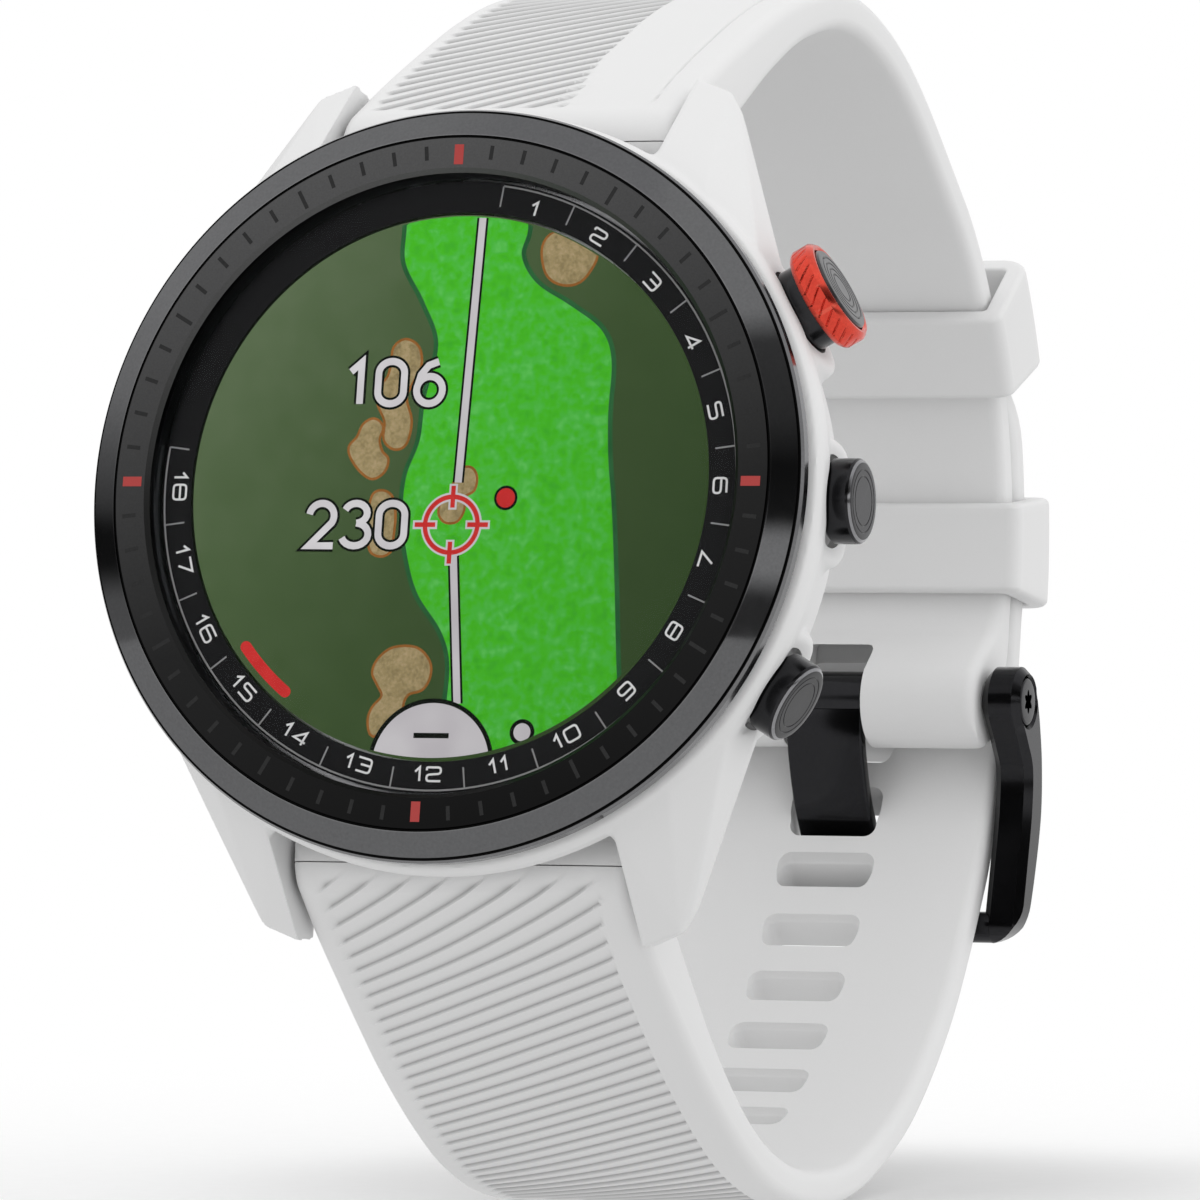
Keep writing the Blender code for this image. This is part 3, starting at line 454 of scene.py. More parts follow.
def add(name, mesh, matrix, materials, body, replaced=None, angle=32.0):
    """Writes a finished mesh as a piece riding on a body; angle is where its edges go sharp."""
    mesh.name = name
    mesh.transform(matrix)
    mesh.update()
    if isinstance(materials, str):
        materials = [materials]
    kinds = np.zeros(len(mesh.polygons), np.int32)
    if len(materials) > 1:
        mesh.polygons.foreach_get("material_index", kinds)
    mesh.materials.clear()
    for key in materials:
        mesh.materials.append(MATERIALS[key])
    mesh.polygons.foreach_set("material_index", kinds)
    mesh.shade_smooth()
    mesh.set_sharp_from_angle(angle=math.radians(angle))
    obj = bpy.data.objects.new(name, mesh)
    scene.collection.objects.link(obj)
    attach(obj, body)
    if replaced:
        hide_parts(replaced)


def add_head(name, mesh, materials, replaced=None, angle=32.0):
    """A piece of the watch head, drawn in the watch frame."""
    add(name, mesh, WATCH, materials, "watch_head", replaced, angle)


def turned(profile, segments=192, marks=None, matrix=None, radial=None):
    """A closed (radius, height) profile spun round z.

    marks gives each profile edge's material index; radial a growth by radius, height and angle.
    """
    verts, rows = [], []
    for r, height in profile:
        if r < 1e-6:
            rows.append([len(verts)] * segments)
            verts.append((0.0, 0.0, height))
            continue
        rows.append(range(len(verts), len(verts) + segments))
        for angle in np.arange(segments) * TAU / segments:
            reach = r + (radial(r, height, angle) if radial else 0.0)
            verts.append((reach * math.cos(angle), reach * math.sin(angle), height))
    faces, kinds = [], []
    for i, row in enumerate(rows):
        j = (i + 1) % len(rows)
        if profile[i][0] < 1e-6 and profile[j][0] < 1e-6:
            continue
        for k in range(segments):
            m = (k + 1) % segments
            # a corner on the axis appears once
            faces.append(list(dict.fromkeys((row[k], row[m], rows[j][m], rows[j][k]))))
            kinds.append(marks[i] if marks else 0)
    mesh = to_mesh(verts, faces)
    mesh.polygons.foreach_set("material_index", np.array(kinds, np.int32))
    outward(mesh)
    if matrix is not None:
        mesh.transform(matrix)
    return mesh


def bend(before, corner, after, reach, steps):
    """A curve that cuts a corner, starting and ending up to reach away from it."""
    corner = Vector(corner)
    back, ahead = Vector(before) - corner, Vector(after) - corner
    reach = min(reach, back.length * 0.49, ahead.length * 0.49)
    start, end = corner + back.normalized() * reach, corner + ahead.normalized() * reach
    out = []
    for k in range(steps + 1):
        t = k / steps
        point = start * (1 - t) ** 2 + corner * 2 * t * (1 - t) + end * t * t
        out.append((point.x, point.y))
    return out


def fillet(profile, radii, steps=4):
    """Rounds the corners of a closed profile listed in radii (index: radius)."""
    out = []
    for i, corner in enumerate(profile):
        if i not in radii:
            out.append(corner)
            continue
        before, after = profile[i - 1], profile[(i + 1) % len(profile)]
        half = (Vector(before) - Vector(corner)).angle(Vector(after) - Vector(corner)) / 2
        out += bend(before, corner, after, radii[i] / math.tan(half), steps)
    return out


def softened(points, reach, closed, steps=3):
    """Rounds all corners of a polyline."""
    out = []
    count = len(points)
    for i, corner in enumerate(points):
        if not closed and i in (0, count - 1):
            out.append(tuple(corner))
        else:
            out += bend(points[i - 1], corner, points[(i + 1) % count], reach, steps)
    return out


def loft(rings, closed=False, slant=0):
    """Skins a list of equal rings.

    closed joins the last ring to the first instead of capping both; the sign of slant picks
    the diagonal along which each quad is split, and 0 leaves the quads whole.
    """
    count = len(rings[0])
    verts = np.concatenate([np.asarray(ring, float) for ring in rings])
    faces = []
    last = len(rings) if closed else len(rings) - 1
    for i in range(last):
        a, b = i * count, ((i + 1) % len(rings)) * count
        for k in range(count):
            m = (k + 1) % count
            if slant > 0:
                faces += [(a + k, a + m, b + k), (a + m, b + m, b + k)]
            elif slant < 0:
                faces += [(a + k, a + m, b + m), (a + k, b + m, b + k)]
            else:
                faces.append((a + k, a + m, b + m, b + k))
    if not closed:
        faces.append(tuple(range(count))[::-1])
        faces.append(tuple(range(last * count, (last + 1) * count)))
    return outward(to_mesh(verts, faces))


def signed_area(points):
    """Twice the area, positive when counter-clockwise."""
    return sum(p.x * q.y - q.x * p.y for p, q in zip(points, points[1:] + points[:1]))


def prism(outline, bottom, top, bevel=0.0, steps=3, both=False):
    """An outline raised from bottom to top, its top rim rounded, or both rims."""
    points = [Vector((p[0], p[1])) for p in outline]
    if signed_area(points) < 0:
        points.reverse()
    normals = []
    for i, point in enumerate(points):
        before = (point - points[i - 1]).normalized()
        after = (points[(i + 1) % len(points)] - point).normalized()
        first, second = Vector((-before.y, before.x)), Vector((-after.y, after.x))
        middle = first + second
        middle = middle.normalized() if middle.length > 1e-6 else first
        normals.append(middle / max(middle.dot(first), 0.5))

    def ring(inset, z):
        return [(p.x + q.x * inset, p.y + q.y * inset, z) for p, q in zip(points, normals)]

    if not bevel:
        return loft([ring(0, bottom), ring(0, top)])
    turns = [math.pi / 2 * k / steps for k in range(steps + 1)]
    rings = [ring(0, bottom)]
    if both:
        rings = [ring(bevel * (1 - math.sin(a)), bottom + bevel * (1 - math.cos(a))) for a in turns]
    rings += [ring(bevel * (1 - math.cos(a)), top - bevel * (1 - math.sin(a))) for a in turns]
    return loft(rings)


def joined(meshes):
    bm = bmesh.new()
    for mesh in meshes:
        bm.from_mesh(mesh)
    return from_bmesh(bm)


def box(x, y, z, matrix=None, bevel=0.0, segments=3):
    """A block over three (low, high) ranges."""
    bm = bmesh.new()
    bmesh.ops.create_cube(bm, size=1.0)
    centre = Vector(((x[0] + x[1]) / 2, (y[0] + y[1]) / 2, (z[0] + z[1]) / 2))
    size = Matrix.Diagonal((x[1] - x[0], y[1] - y[0], z[1] - z[0], 1.0))
    bmesh.ops.transform(bm, matrix=Matrix.Translation(centre) @ size, verts=bm.verts)
    if bevel:
        bmesh.ops.bevel(bm, geom=bm.edges[:], offset=bevel, segments=segments, affect="EDGES",
                        profile=0.5, clamp_overlap=True)
    if matrix is not None:
        bmesh.ops.transform(bm, matrix=matrix, verts=bm.verts)
    return from_bmesh(bm)


def rod(y, z, radius, x0, x1, segments=48, bore=0.0, edge=0.0):
    """A rod or tube along x through (y, z), its outer rims chamfered by edge."""
    if edge:
        side = [(radius - edge, x0), (radius, x0 + edge), (radius, x1 - edge), (radius - edge, x1)]
    else:
        side = [(radius, x0), (radius, x1)]
    return turned([(bore, x0), *side, (bore, x1)], segments,
                  matrix=Matrix.Translation((0, y, z)) @ ALONG_X)


def quarter_arcs(corners, steps):
    """A ring through four quarter arcs about (x, y, radius), the first starting at 0 degrees."""
    out = []
    for i, (x, y, radius) in enumerate(corners):
        for k in range(steps + 1):
            dx, dy = polar(radius, 90 * i + 90 * k / steps)
            out.append((x + dx, y + dy))
    return out


def rounded_rectangle(centre_x, centre_y, radius, steps):
    """A ring whose corner arcs are centred at (+-centre_x, +-centre_y)."""
    return quarter_arcs([(sx * centre_x, sy * centre_y, radius) for sx, sy in CORNERS], steps)


def catmull(quad, per):
    """Catmull-Rom points from the second of four points up to, but without, the third."""
    out = []
    for k in range(per):
        t = k / per
        out.append(tuple(0.5 * (2 * b + (c - a) * t + (2 * a - 5 * b + 4 * c - d) * t * t
                                + (3 * b - a - 3 * c + d) * t ** 3) for a, b, c, d in zip(*quad)))
    return out


def spline(points, per=12):
    """Smooth open line through the points."""
    ends = [tuple(2 * a - b for a, b in zip(points[0], points[1])), *points,
            tuple(2 * a - b for a, b in zip(points[-1], points[-2]))]
    out = []
    for i in range(1, len(ends) - 2):
        out += catmull(ends[i - 1:i + 3], per)
    return out + [tuple(points[-1])]


def smooth_closed(points, per):
    """Smooth loop through the points."""
    out, count = [], len(points)
    for i in range(count):
        out += catmull([points[(i + k - 1) % count] for k in range(4)], per)
    return out


# ---------------------------------------------------------------- strokes and figures
def stroke(points, width, bottom, top, closed=False):
    """A raised line of constant width with mitred corners."""
    points = [Vector(p) for p in points]
    count = len(points)
    rings = []
    for i, point in enumerate(points):
        ways = []
        if closed or i > 0:
            ways.append((point - points[i - 1]).normalized())
        if closed or i < count - 1:
            ways.append((points[(i + 1) % count] - point).normalized())
        first = Vector((-ways[0].y, ways[0].x))
        second = Vector((-ways[-1].y, ways[-1].x))
        mitre = (first + second).normalized()
        mitre = mitre / max(mitre.dot(first), 0.4) * width / 2
        left, right = point + mitre, point - mitre
        rings.append([(right.x, right.y, bottom), (left.x, left.y, bottom),
                      (left.x, left.y, top), (right.x, right.y, top)])
    return loft(rings, closed=closed)


def ellipse_arc(x, y, radius_x, radius_y, start, end, steps=14):
    turns = [math.radians(start + (end - start) * k / steps) for k in range(steps + 1)]
    return [(x + radius_x * math.cos(a), y + radius_y * math.sin(a)) for a in turns]


# lines of each figure in a 1 x 1 box, with whether each one closes
DIGITS = {
    "0": [([(0, 0), (1, 0), (1, 1), (0, 1)], True)],
    "1": [([(0.28, 0.68), (0.62, 1.0), (0.62, 0)], False)],
    "2": [([(0, 0.78), (0, 1), (1, 1), (1, 0.54), (0, 0.46), (0, 0), (1, 0)], False)],
    "3": [([(0, 1), (1, 1), (1, 0), (0, 0)], False), ([(0.25, 0.52), (0.93, 0.52)], False)],
    "4": [([(0.78, 0), (0.78, 1), (0.05, 0.27), (1, 0.27)], False)],
    "5": [([(1, 1), (0, 1), (0, 0.58), (1, 0.58), (1, 0), (0, 0)], False)],
    "6": [([(0.96, 1), (0, 1), (0, 0), (1, 0), (1, 0.57), (0.08, 0.57)], False)],
    "7": [([(0, 1), (1, 1), (0.42, 0)], False)],
    "8": [([(0, 0), (1, 0), (1, 1), (0, 1)], True), ([(0.07, 0.52), (0.93, 0.52)], False)],
    "9": [([(0.92, 0.43), (0, 0.43), (0, 1), (1, 1), (1, 0), (0.04, 0)], False)],
}
SQUARE_ONES = "147"  # figures whose corners stay sharp
# rounder figures for the display
ROUND_DIGITS = {
    "0": [(ellipse_arc(0.5, 0.72, 0.5, 0.28, 0, 180) + ellipse_arc(0.5, 0.28, 0.5, 0.28, 180, 360),
           True)],
    "1": [([(0.2, 0.76), (0.62, 0.98), (0.62, 0)], False)],
    "2": [(ellipse_arc(0.5, 0.70, 0.48, 0.30, 172, -32) + [(0.06, 0.0), (1.0, 0.0)], False)],
    "3": [(ellipse_arc(0.46, 0.765, 0.44, 0.235, 160, -84), False),
          (ellipse_arc(0.46, 0.27, 0.52, 0.27, 86, -162), False)],
    "6": [(ellipse_arc(0.5, 0.32, 0.5, 0.32, 90, 450, 28)[:-1], True),
          ([(0.80, 0.99), (0.42, 0.90), (0.14, 0.68), (0.03, 0.42)], False)],
}


def number_meshes(text, width, height, gap, line_width, bottom, top, matrix, glyphs=DIGITS):
    """A number centred on the local origin, as thin raised strokes."""
    widths = [width * (0.5 if figure == "1" else 1.0) for figure in text]
    x = -(sum(widths) + gap * (len(text) - 1)) / 2
    out = []
    for figure, wide in zip(text, widths):
        for k, (line, closed) in enumerate(glyphs[figure]):
            if figure == "1":
                points = [(x + (px - 0.28) * width * 0.95, (py - 0.5) * height) for px, py in line]
            else:
                points = [(x + px * wide, (py - 0.5) * height) for px, py in line]
            if glyphs is DIGITS and figure not in SQUARE_ONES:
                points = softened(points, 0.22, closed)
            # crossing lines differ a little in height
            out.append(moved(stroke(points, line_width, bottom, top + 0.0012 * k, closed), matrix))
        x += wide + gap
    return out


# ================================================================ bezel and lens
BEZEL_R = 23.25
# the near-black finish on the groove and hidden faces is painted shade
SATIN, POLISHED, SIDE, GROOVE_SHADE = range(4)
# radius, height, finish of the edge that starts there
BEZEL = [
    (19.15, -2.05, GROOVE_SHADE), (22.9, -2.05, SIDE), (BEZEL_R, -1.8, SIDE), (BEZEL_R, -1.12, SIDE),
    (23.12, -0.86, GROOVE_SHADE), (23.0, -0.86, GROOVE_SHADE), (22.96, -0.72, POLISHED),  # step, chamfer
    (21.52, -0.045, SIDE), (21.46, -0.02, GROOVE_SHADE), (21.40, -0.10, GROOVE_SHADE),  # rim, groove
    (21.34, -0.10, GROOVE_SHADE), (21.28, 0.0, SATIN), (19.42, 0.0, SATIN), (19.15, -0.28, GROOVE_SHADE),
]
add_head("bezel", turned([row[:2] for row in BEZEL], 288, [row[2] for row in BEZEL]),
         ["bezel_satin", "bezel_polished", "bezel_side_polished", "bezel_groove_painted_shade"],
         "bezel_ring", 14)

MARK_INNER, MARK_OUTER = 19.62, 20.86
SHORT_TICK_INNER = 19.98
ticks, red_marks = [], []
for n in range(60):
    turn = Matrix.Rotation(math.radians(6 * n), 4, "Z")
    if n % 15 == 0:
        red_marks.append(box((MARK_INNER, MARK_OUTER), (-0.30, 0.30), (-0.02, 0.014), turn, 0.006, 1))
    else:
        inner = SHORT_TICK_INNER if n % 5 else MARK_INNER
        ticks.append(box((inner, MARK_OUTER), (-0.125, 0.125), (-0.02, 0.008), turn, 0.003, 1))
add_head("bezel_ticks", joined(ticks), "tick_print")
add_head("bezel_red_marks", joined(red_marks), "mark_red")

LENS_R = 18.98
lens_profile = fillet([(0, -1.5), (LENS_R, -1.5), (LENS_R, LENS_TOP), (0, LENS_TOP)], {1: 0.15, 2: 0.22})
add_head("lens", turned(lens_profile), "coated_glass", "lens_glass")

# ================================================================ dial ring: 18 sectors, numbered
DIAL_TOP = -1.6
PRINT_BOTTOM = -1.605
SECTOR = 15  # degrees
SECTOR_START = 82.5
SECTOR_LINE_R = 18.72
NUMBER_R = 17.72

dial_profile = fillet([(16.95, -2.0), (18.9, -2.0), (18.9, DIAL_TOP), (16.95, DIAL_TOP)], {3: 0.05}, 2)
add_head("dial_number_ring", turned(dial_profile, 240), "dial_black", "dial_ring")

sector_arc = [polar(SECTOR_LINE_R, a) for a in np.arange(SECTOR_START, -187.6, -2.5)]
lines = [stroke(sector_arc, 0.11, PRINT_BOTTOM, -1.588)]
for k in range(19):
    angle = SECTOR_START - SECTOR * k
    lines.append(stroke([polar(17.42, angle), polar(18.70, angle)], 0.10, PRINT_BOTTOM, -1.587))
add_head("dial_sector_lines", joined(lines), "dial_line_grey")

digits = []
for n in range(1, 19):
    angle = 90 - SECTOR * n
    # from 7 on the numbers stand with their feet outwards
    turn = Matrix.Rotation(math.radians(angle - 90 if n <= 6 else angle + 90), 4, "Z")
    digits += number_meshes(str(n), 0.92, 0.84, 0.30, 0.135, PRINT_BOTTOM, -1.586,
                            Matrix.Translation((*polar(NUMBER_R, angle), 0)) @ turn)
add_head("dial_numbers", joined(digits), "dial_print_grey")

# ================================================================ display: a golf hole from above
LIT_R = 16.72
MAP_BOTTOM = -1.63  # every map layer starts here and the later ones rise higher


def clipped(points):
    """Brings what lies outside the lit disc back to its rim."""
    dense = []
    for a, b in zip(points, points[1:] + points[:1]):
        steps = max(1, int(math.dist(a, b) / 0.35))
        dense += [(a[0] + (b[0] - a[0]) * k / steps, a[1] + (b[1] - a[1]) * k / steps)
                  for k in range(steps)]
    out = []
    for x, y in dense:
        reach = math.hypot(x, y)
        if reach > LIT_R:
            x, y = x * LIT_R / reach, y * LIT_R / reach
        if not out or math.dist(out[-1], (x, y)) > 0.02:
            out.append((x, y))
    while math.dist(out[0], out[-1]) < 0.02:
        out.pop()
    return out


def grown(points, by):
    points = [Vector(p) for p in points]
    sign = 1 if signed_area(points) > 0 else -1
    out = []
    for i, point in enumerate(points):
        along = (points[(i + 1) % len(points)] - points[i - 1]).normalized()
        out.append((point.x + along.y * by * sign, point.y - along.x * by * sign))
    return out


def circle(x, y, radius, count=40, wobble=0.0, seed=0.0):
    """A circle, its radius waved by the given share."""
    out = []
    for angle in (TAU * k / count for k in range(count)):
        reach = radius * (1 + wobble * math.sin(3 * angle + seed)
                          + 0.6 * wobble * math.sin(5 * angle + 2.1 * seed))
        out.append((x + reach * math.cos(angle), y + reach * math.sin(angle)))
    return out


def map_flat(points, top):
    return prism(points, MAP_BOTTOM, top)


def map_stroke(points, width, top, closed=False):
    return stroke(points, width, MAP_BOTTOM, top, closed)


# ---------------------------------------------------------------- ground and fairway
add_head("display_map_ground", turned([(0, -2.7), (16.8, -2.7), (16.8, -1.62), (0, -1.62)], 160),
         "map_rough", "display_panel")

# (x, y) down each side of the fairway
FAIRWAY_LEFT = [
    (-3.8, 18.5), (-3.8, 15.9), (-3.7, 13.8), (-2.3, 11.4), (-1.2, 8.8), (-1.8, 5.4), (-2.0, 2.8),
    (-2.7, 0.7), (-2.8, -1.4), (-2.4, -4.0), (-1.5, -6.6), (0.2, -8.9), (0.9, -10.8),
    (0.9, -13.2), (0.7, -15.9), (0.6, -19.0)]
FAIRWAY_RIGHT = [
    (4.2, 18.5), (4.2, 15.8), (3.9, 14.2), (5.0, 12.5), (7.3, 11.1), (9.4, 9.6), (10.2, 7.7),
    (10.2, 4.5), (10.4, 1.6), (10.8, -1.2), (11.3, -5.9), (11.8, -11.3), (12.4, -16.0),
    (12.6, -19.0)]


def side_line(points):
    """A smoothed fairway side as rising y and the x at each."""
    dense = smooth_closed(points, 8)[8:8 * (len(points) - 1) + 1]
    dense = sorted((p for p in dense if abs(p[1]) < 18.6), key=lambda p: p[1])
    return [p[1] for p in dense], [p[0] for p in dense]


def fairway(grow, top):
    """The ground between the two sides, grown sideways and clipped by the lit disc."""
    left, right = side_line(FAIRWAY_LEFT), side_line(FAIRWAY_RIGHT)

    def growth(side, y):
        lean = (np.interp(y + 0.1, *side) - np.interp(y - 0.1, *side)) / 0.2
        return grow * math.sqrt(1 + lean * lean)

    rings = []
    for y in np.linspace(-LIT_R + 0.01, LIT_R - 0.01, 260):
        reach = math.sqrt(LIT_R ** 2 - y ** 2)
        x0 = max(-reach, min(reach - 0.02, np.interp(y, *left) - growth(left, y)))
        x1 = max(-reach + 0.02, min(reach, np.interp(y, *right) + growth(right, y)))
        if x1 - x0 > 0.05:
            rings.append([(x0, y, MAP_BOTTOM), (x1, y, MAP_BOTTOM), (x1, y, top), (x0, y, top)])
    return loft(rings)


add_head("display_map_fringe", fairway(0.30, -1.614), "map_fringe")
add_head("display_map_fairway", fairway(0.0, -1.608), "map_fairway")

# ---------------------------------------------------------------- bunkers
# (x, y) round each bunker
BUNKERS = [
    [(-4.06, 8.57), (-3.37, 9.03), (-2.52, 8.57), (-2.29, 7.43), (-2.84, 6.29), (-3.12, 5.38),
     (-2.69, 4.01), (-2.93, 2.64), (-3.63, 2.33), (-4.3, 2.87), (-4.33, 4.01), (-4.89, 5.15),
     (-4.85, 6.06), (-4.33, 6.75), (-4.15, 7.66)],
    [(-5.75, 3.78), (-5.1, 4.1), (-4.54, 3.65), (-4.73, 2.87), (-4.48, 2.1), (-4.06, 1.64),
     (-4.25, 0.91), (-4.95, 0.5), (-5.7, 0.91), (-6.39, 1.73), (-6.58, 2.42), (-6.09, 3.01)],
    [(-4.78, -0.55), (-4.17, -0.36), (-3.57, -0.78), (-3.34, -1.92), (-3.39, -3.28),
     (-3.44, -3.97), (-4.04, -4.29), (-4.74, -3.97), (-4.91, -2.83), (-4.96, -1.46)],
    [(0.71, 0.91), (1.42, 1.09), (1.84, 0.59), (1.75, -0.23), (1.15, -0.64), (1.16, -1.46),
     (0.77, -2.14), (0.05, -2.19), (-0.37, -1.69), (-0.22, -1.0), (0.33, -0.55), (0.47, 0.14)],
    [(-3.69, -10.67), (-2.78, -10.03), (-1.33, -10.03), (-0.46, -10.81), (-0.35, -11.72),
     (-0.78, -12.49), (-1.63, -12.77), (-1.97, -13.32), (-2.02, -14.0), (-2.45, -14.77),
     (-3.76, -15.37), (-4.11, -14.46), (-3.88, -13.68), (-3.3, -12.95), (-3.69, -12.18),
     (-4.03, -11.49)],
]
bunkers = [circle(7.0, 14.2, 1.75, wobble=0.03, seed=0.4)] + [smooth_closed(b, 4) for b in BUNKERS]
rims = [map_flat(clipped(grown(outline, 0.16)), -1.602) for outline in bunkers]
sands = [map_flat(clipped(outline), -1.597) for outline in bunkers]
add_head("display_map_bunker_rims", joined(rims), "map_sand_edge")
add_head("display_map_bunkers", joined(sands), "map_sand")

# ---------------------------------------------------------------- lines, marks and distances
AIM = (0.45, -2.4)  # centre of the cross-hair ring
RED_DOT = (3.9, -0.75)
RIM_DISC = (0.1, -17.2)  # large pale disc cut off by the lower rim
SMALL_DISC = (5.95, -15.1)
NUMBER_WIDTH, NUMBER_HEIGHT = 1.70, 2.63

ink, pale, red, text = [], [], [], []
for line in ([(1.2, 16.6), (0.72, 0.2)], [(0.72, -4.3), (1.6, -13.4)]):
    ink.append(map_stroke(line, 0.74, -1.592))
    pale.append(map_stroke(line, 0.46, -1.587))
aim_ring = circle(*AIM, 1.72, 48)
pale.append(map_stroke(aim_ring, 0.54, -1.585, True))
red.append(map_stroke(aim_ring, 0.29, -1.580, True))
for k in range(4):
    for layer, inner, outer, width, top in ((pale, 0.93, 2.52, 0.54, -1.5845),
                                            (red, 1.05, 2.4, 0.29, -1.5790)):
        ends = [polar(reach, 90 * k) for reach in (inner, outer)]
        layer.append(map_stroke([(AIM[0] + x, AIM[1] + y) for x, y in ends], width, top))
ink.append(map_flat(circle(*RED_DOT, 0.76, 36), -1.5885))
red.append(map_flat(circle(*RED_DOT, 0.60, 36), -1.5835))
ink.append(map_flat(clipped(circle(*RIM_DISC, 4.12, 72)), -1.5830))
pale.append(map_flat(clipped(circle(*RIM_DISC, 3.84, 72)), -1.5780))
ink.append(map_flat([(-1.1, -15.52), (1.2, -15.52), (1.2, -15.2), (-1.1, -15.2)], -1.5740))
ink.append(map_flat(clipped(circle(*SMALL_DISC, 0.80, 36)), -1.5825))
pale.append(map_flat(clipped(circle(*SMALL_DISC, 0.55, 36)), -1.5775))
red_arc = [polar(16.05, a) for a in np.arange(-141.5, -127.4, 1.0)]
red.append(map_stroke(red_arc, 0.72, -1.5835))
red += [map_flat(circle(*red_arc[end], 0.36, 24), -1.5840) for end in (0, -1)]
for number, centre, gap in (("106", (-3.7, 6.4), 0.86), ("230", (-5.8, -2.4), 0.62)):
    for layer, width, top in ((ink, 0.74, -1.5760), (text, 0.44, -1.5700)):
        layer += number_meshes(number, NUMBER_WIDTH, NUMBER_HEIGHT, gap, width, MAP_BOTTOM, top,
                               Matrix.Translation((*centre, 0)), ROUND_DIGITS)
add_head("display_map_outlines", joined(ink), "map_ink")
add_head("display_map_pale", joined(pale), "map_pale")
add_head("display_map_red", joined(red), "map_red")
add_head("display_map_numbers", joined(text), "map_digits")

# ================================================================ case, lugs and button guards
PIN_Y, PIN_Z = 22.4, -9.7  # lug pins
LUG_GAP = 11.35  # half the width between the lugs
BUTTONS = {"upper": 30.0, "middle": 0.0, "lower": -30.0}  # degrees from 3 o'clock
SCREWS = [polar(19.0, angle) for angle in (50, 130, 230, 310)]

BODY = [(0, -12.5), (20.6, -12.5), (21.7, -11.6), (22.6, -8.0), (23.6, -4.6), (23.6, -3.6),
        (23.3, -2.98), (22.9, -2.9), (0, -2.9)]  # radius, height
# corners of the lug towards +x and +y; the other lugs mirror it
LUG = [(LUG_GAP, 14.0, -3.3), (LUG_GAP, 20.4, -3.3), (14.9, 18.1, -3.3), (18.3, 15.0, -4.0),
       (14.0, 10.0, -3.3), (LUG_GAP, 27.0, -9.9), (13.7, 26.1, -9.9), (14.5, 24.8, -9.9),
       (18.7, 13.9, -8.0), (LUG_GAP, 26.6, -12.4), (13.2, 25.7, -12.4), (13.9, 24.4, -12.4),
       (17.6, 12.0, -12.4), (LUG_GAP, 14.0, -12.4)]


def hull(points):
    bm = bmesh.new()
    made = bmesh.ops.convex_hull(bm, input=[bm.verts.new(point) for point in points])
    inside = [item for item in made["geom_interior"] + made["geom_unused"]
              if isinstance(item, bmesh.types.BMVert)]
    if inside:
        bmesh.ops.delete(bm, geom=list(set(inside)), context="VERTS")
    return from_bmesh(bm)


def guard(where, angle):
    """Raised pad round a button."""
    pad = softened([(-4.0, -3.6), (4.0, -3.6), (4.0, 3.3), (-4.0, 3.3)], 2.7, True, 8)
    face = 23.3 if where == "upper" else 22.95
    return moved(prism(pad, 17.0, face, 0.7, 5), button_axis(angle))


case = turned(fillet(BODY, {2: 1.2, 3: 3.0, 4: 1.2}, 5), 256)
lugs = [hull([(x * sx, y * sy, z) for x, y, z in LUG]) for sx, sy in CORNERS]
case = union(case, lugs + [guard(*button) for button in BUTTONS.items()])
case = cut(case, [box((-LUG_GAP, LUG_GAP), sorted((19.0 * side, 34.0 * side)), (-16, -4.9))
                  for side in (1, -1)])
case = remeshed(case, voxel=0.215, factor=0.5, iterations=1)
cavity = [(0, -13.5), (17.4, -13.5), (17.4, -3.9), (20.25, -3.9), (20.25, -2.0), (0, -2.0)]
button_bore = [(0, 15.5), (1.12, 15.5), (1.12, 19.2), (1.75, 19.2), (1.75, 22.3), (2.85, 22.3),
               (2.85, 26.5), (0, 26.5)]
screw_hole = [(0, -13.5), (0.72, -13.5), (0.72, -9.2), (0, -9.2)]
cuts = [turned(cavity, 128)]
cuts += [turned(button_bore, 48, matrix=button_axis(angle)) for angle in BUTTONS.values()]
cuts += [rod(PIN_Y * side, PIN_Z, 0.85, -13.4, 13.4, 32) for side in (1, -1)]
cuts += [turned(screw_hole, 24, matrix=Matrix.Translation((x, y, 0))) for x, y in SCREWS]
add_head("case_with_lugs", cut(case, cuts), "case_polymer", "case_middle", 38)

for which, side in (("lug_pin_upper", 1), ("lug_pin_lower", -1)):
    pin = rod(PIN_Y * side, PIN_Z, 0.75, -13.3, 13.3, 40, edge=0.25)
    add_head(f"{which}_turned", pin, "brushed_steel", which)

# ================================================================ rear cover and sensor window
cover = [(0, -13.9), (18.6, -13.9), (20.2, -13.2), (20.2, -12.95), (0, -12.95)]
screw_seat = [(0, -15), (1.35, -15), (1.25, -13.8), (1.25, -13.45), (0.75, -13.45), (0.75, -11),
              (0, -11)]
# flats at 12 and 6 o'clock, the sensor hole and the opening for the contacts
cuts = [box((-26, 26), sorted((18.8 * side, 30 * side)), (-16, -11)) for side in (1, -1)]
cuts.append(turned([(0, -16), (8.7, -16), (8.7, -11), (0, -11)], 96))
cuts.append(box((-4.1, 4.1), (-14.6, -11.2), (-16, -11)))
cuts += [turned(screw_seat, 32, matrix=Matrix.Translation((x, y, 0))) for x, y in SCREWS]
# two shallow rings turned into the cover
cuts += [turned([(r - 0.12, -14.2), (r + 0.12, -14.2), (r + 0.06, -13.84), (r - 0.06, -13.84)], 160)
         for r in (9.9, 17.3)]
add_head("rear_cover_plate", cut(turned(fillet(cover, {1: 0.8, 2: 0.25}, 5)), cuts),
         "rear_cover_black", "rear_cover")

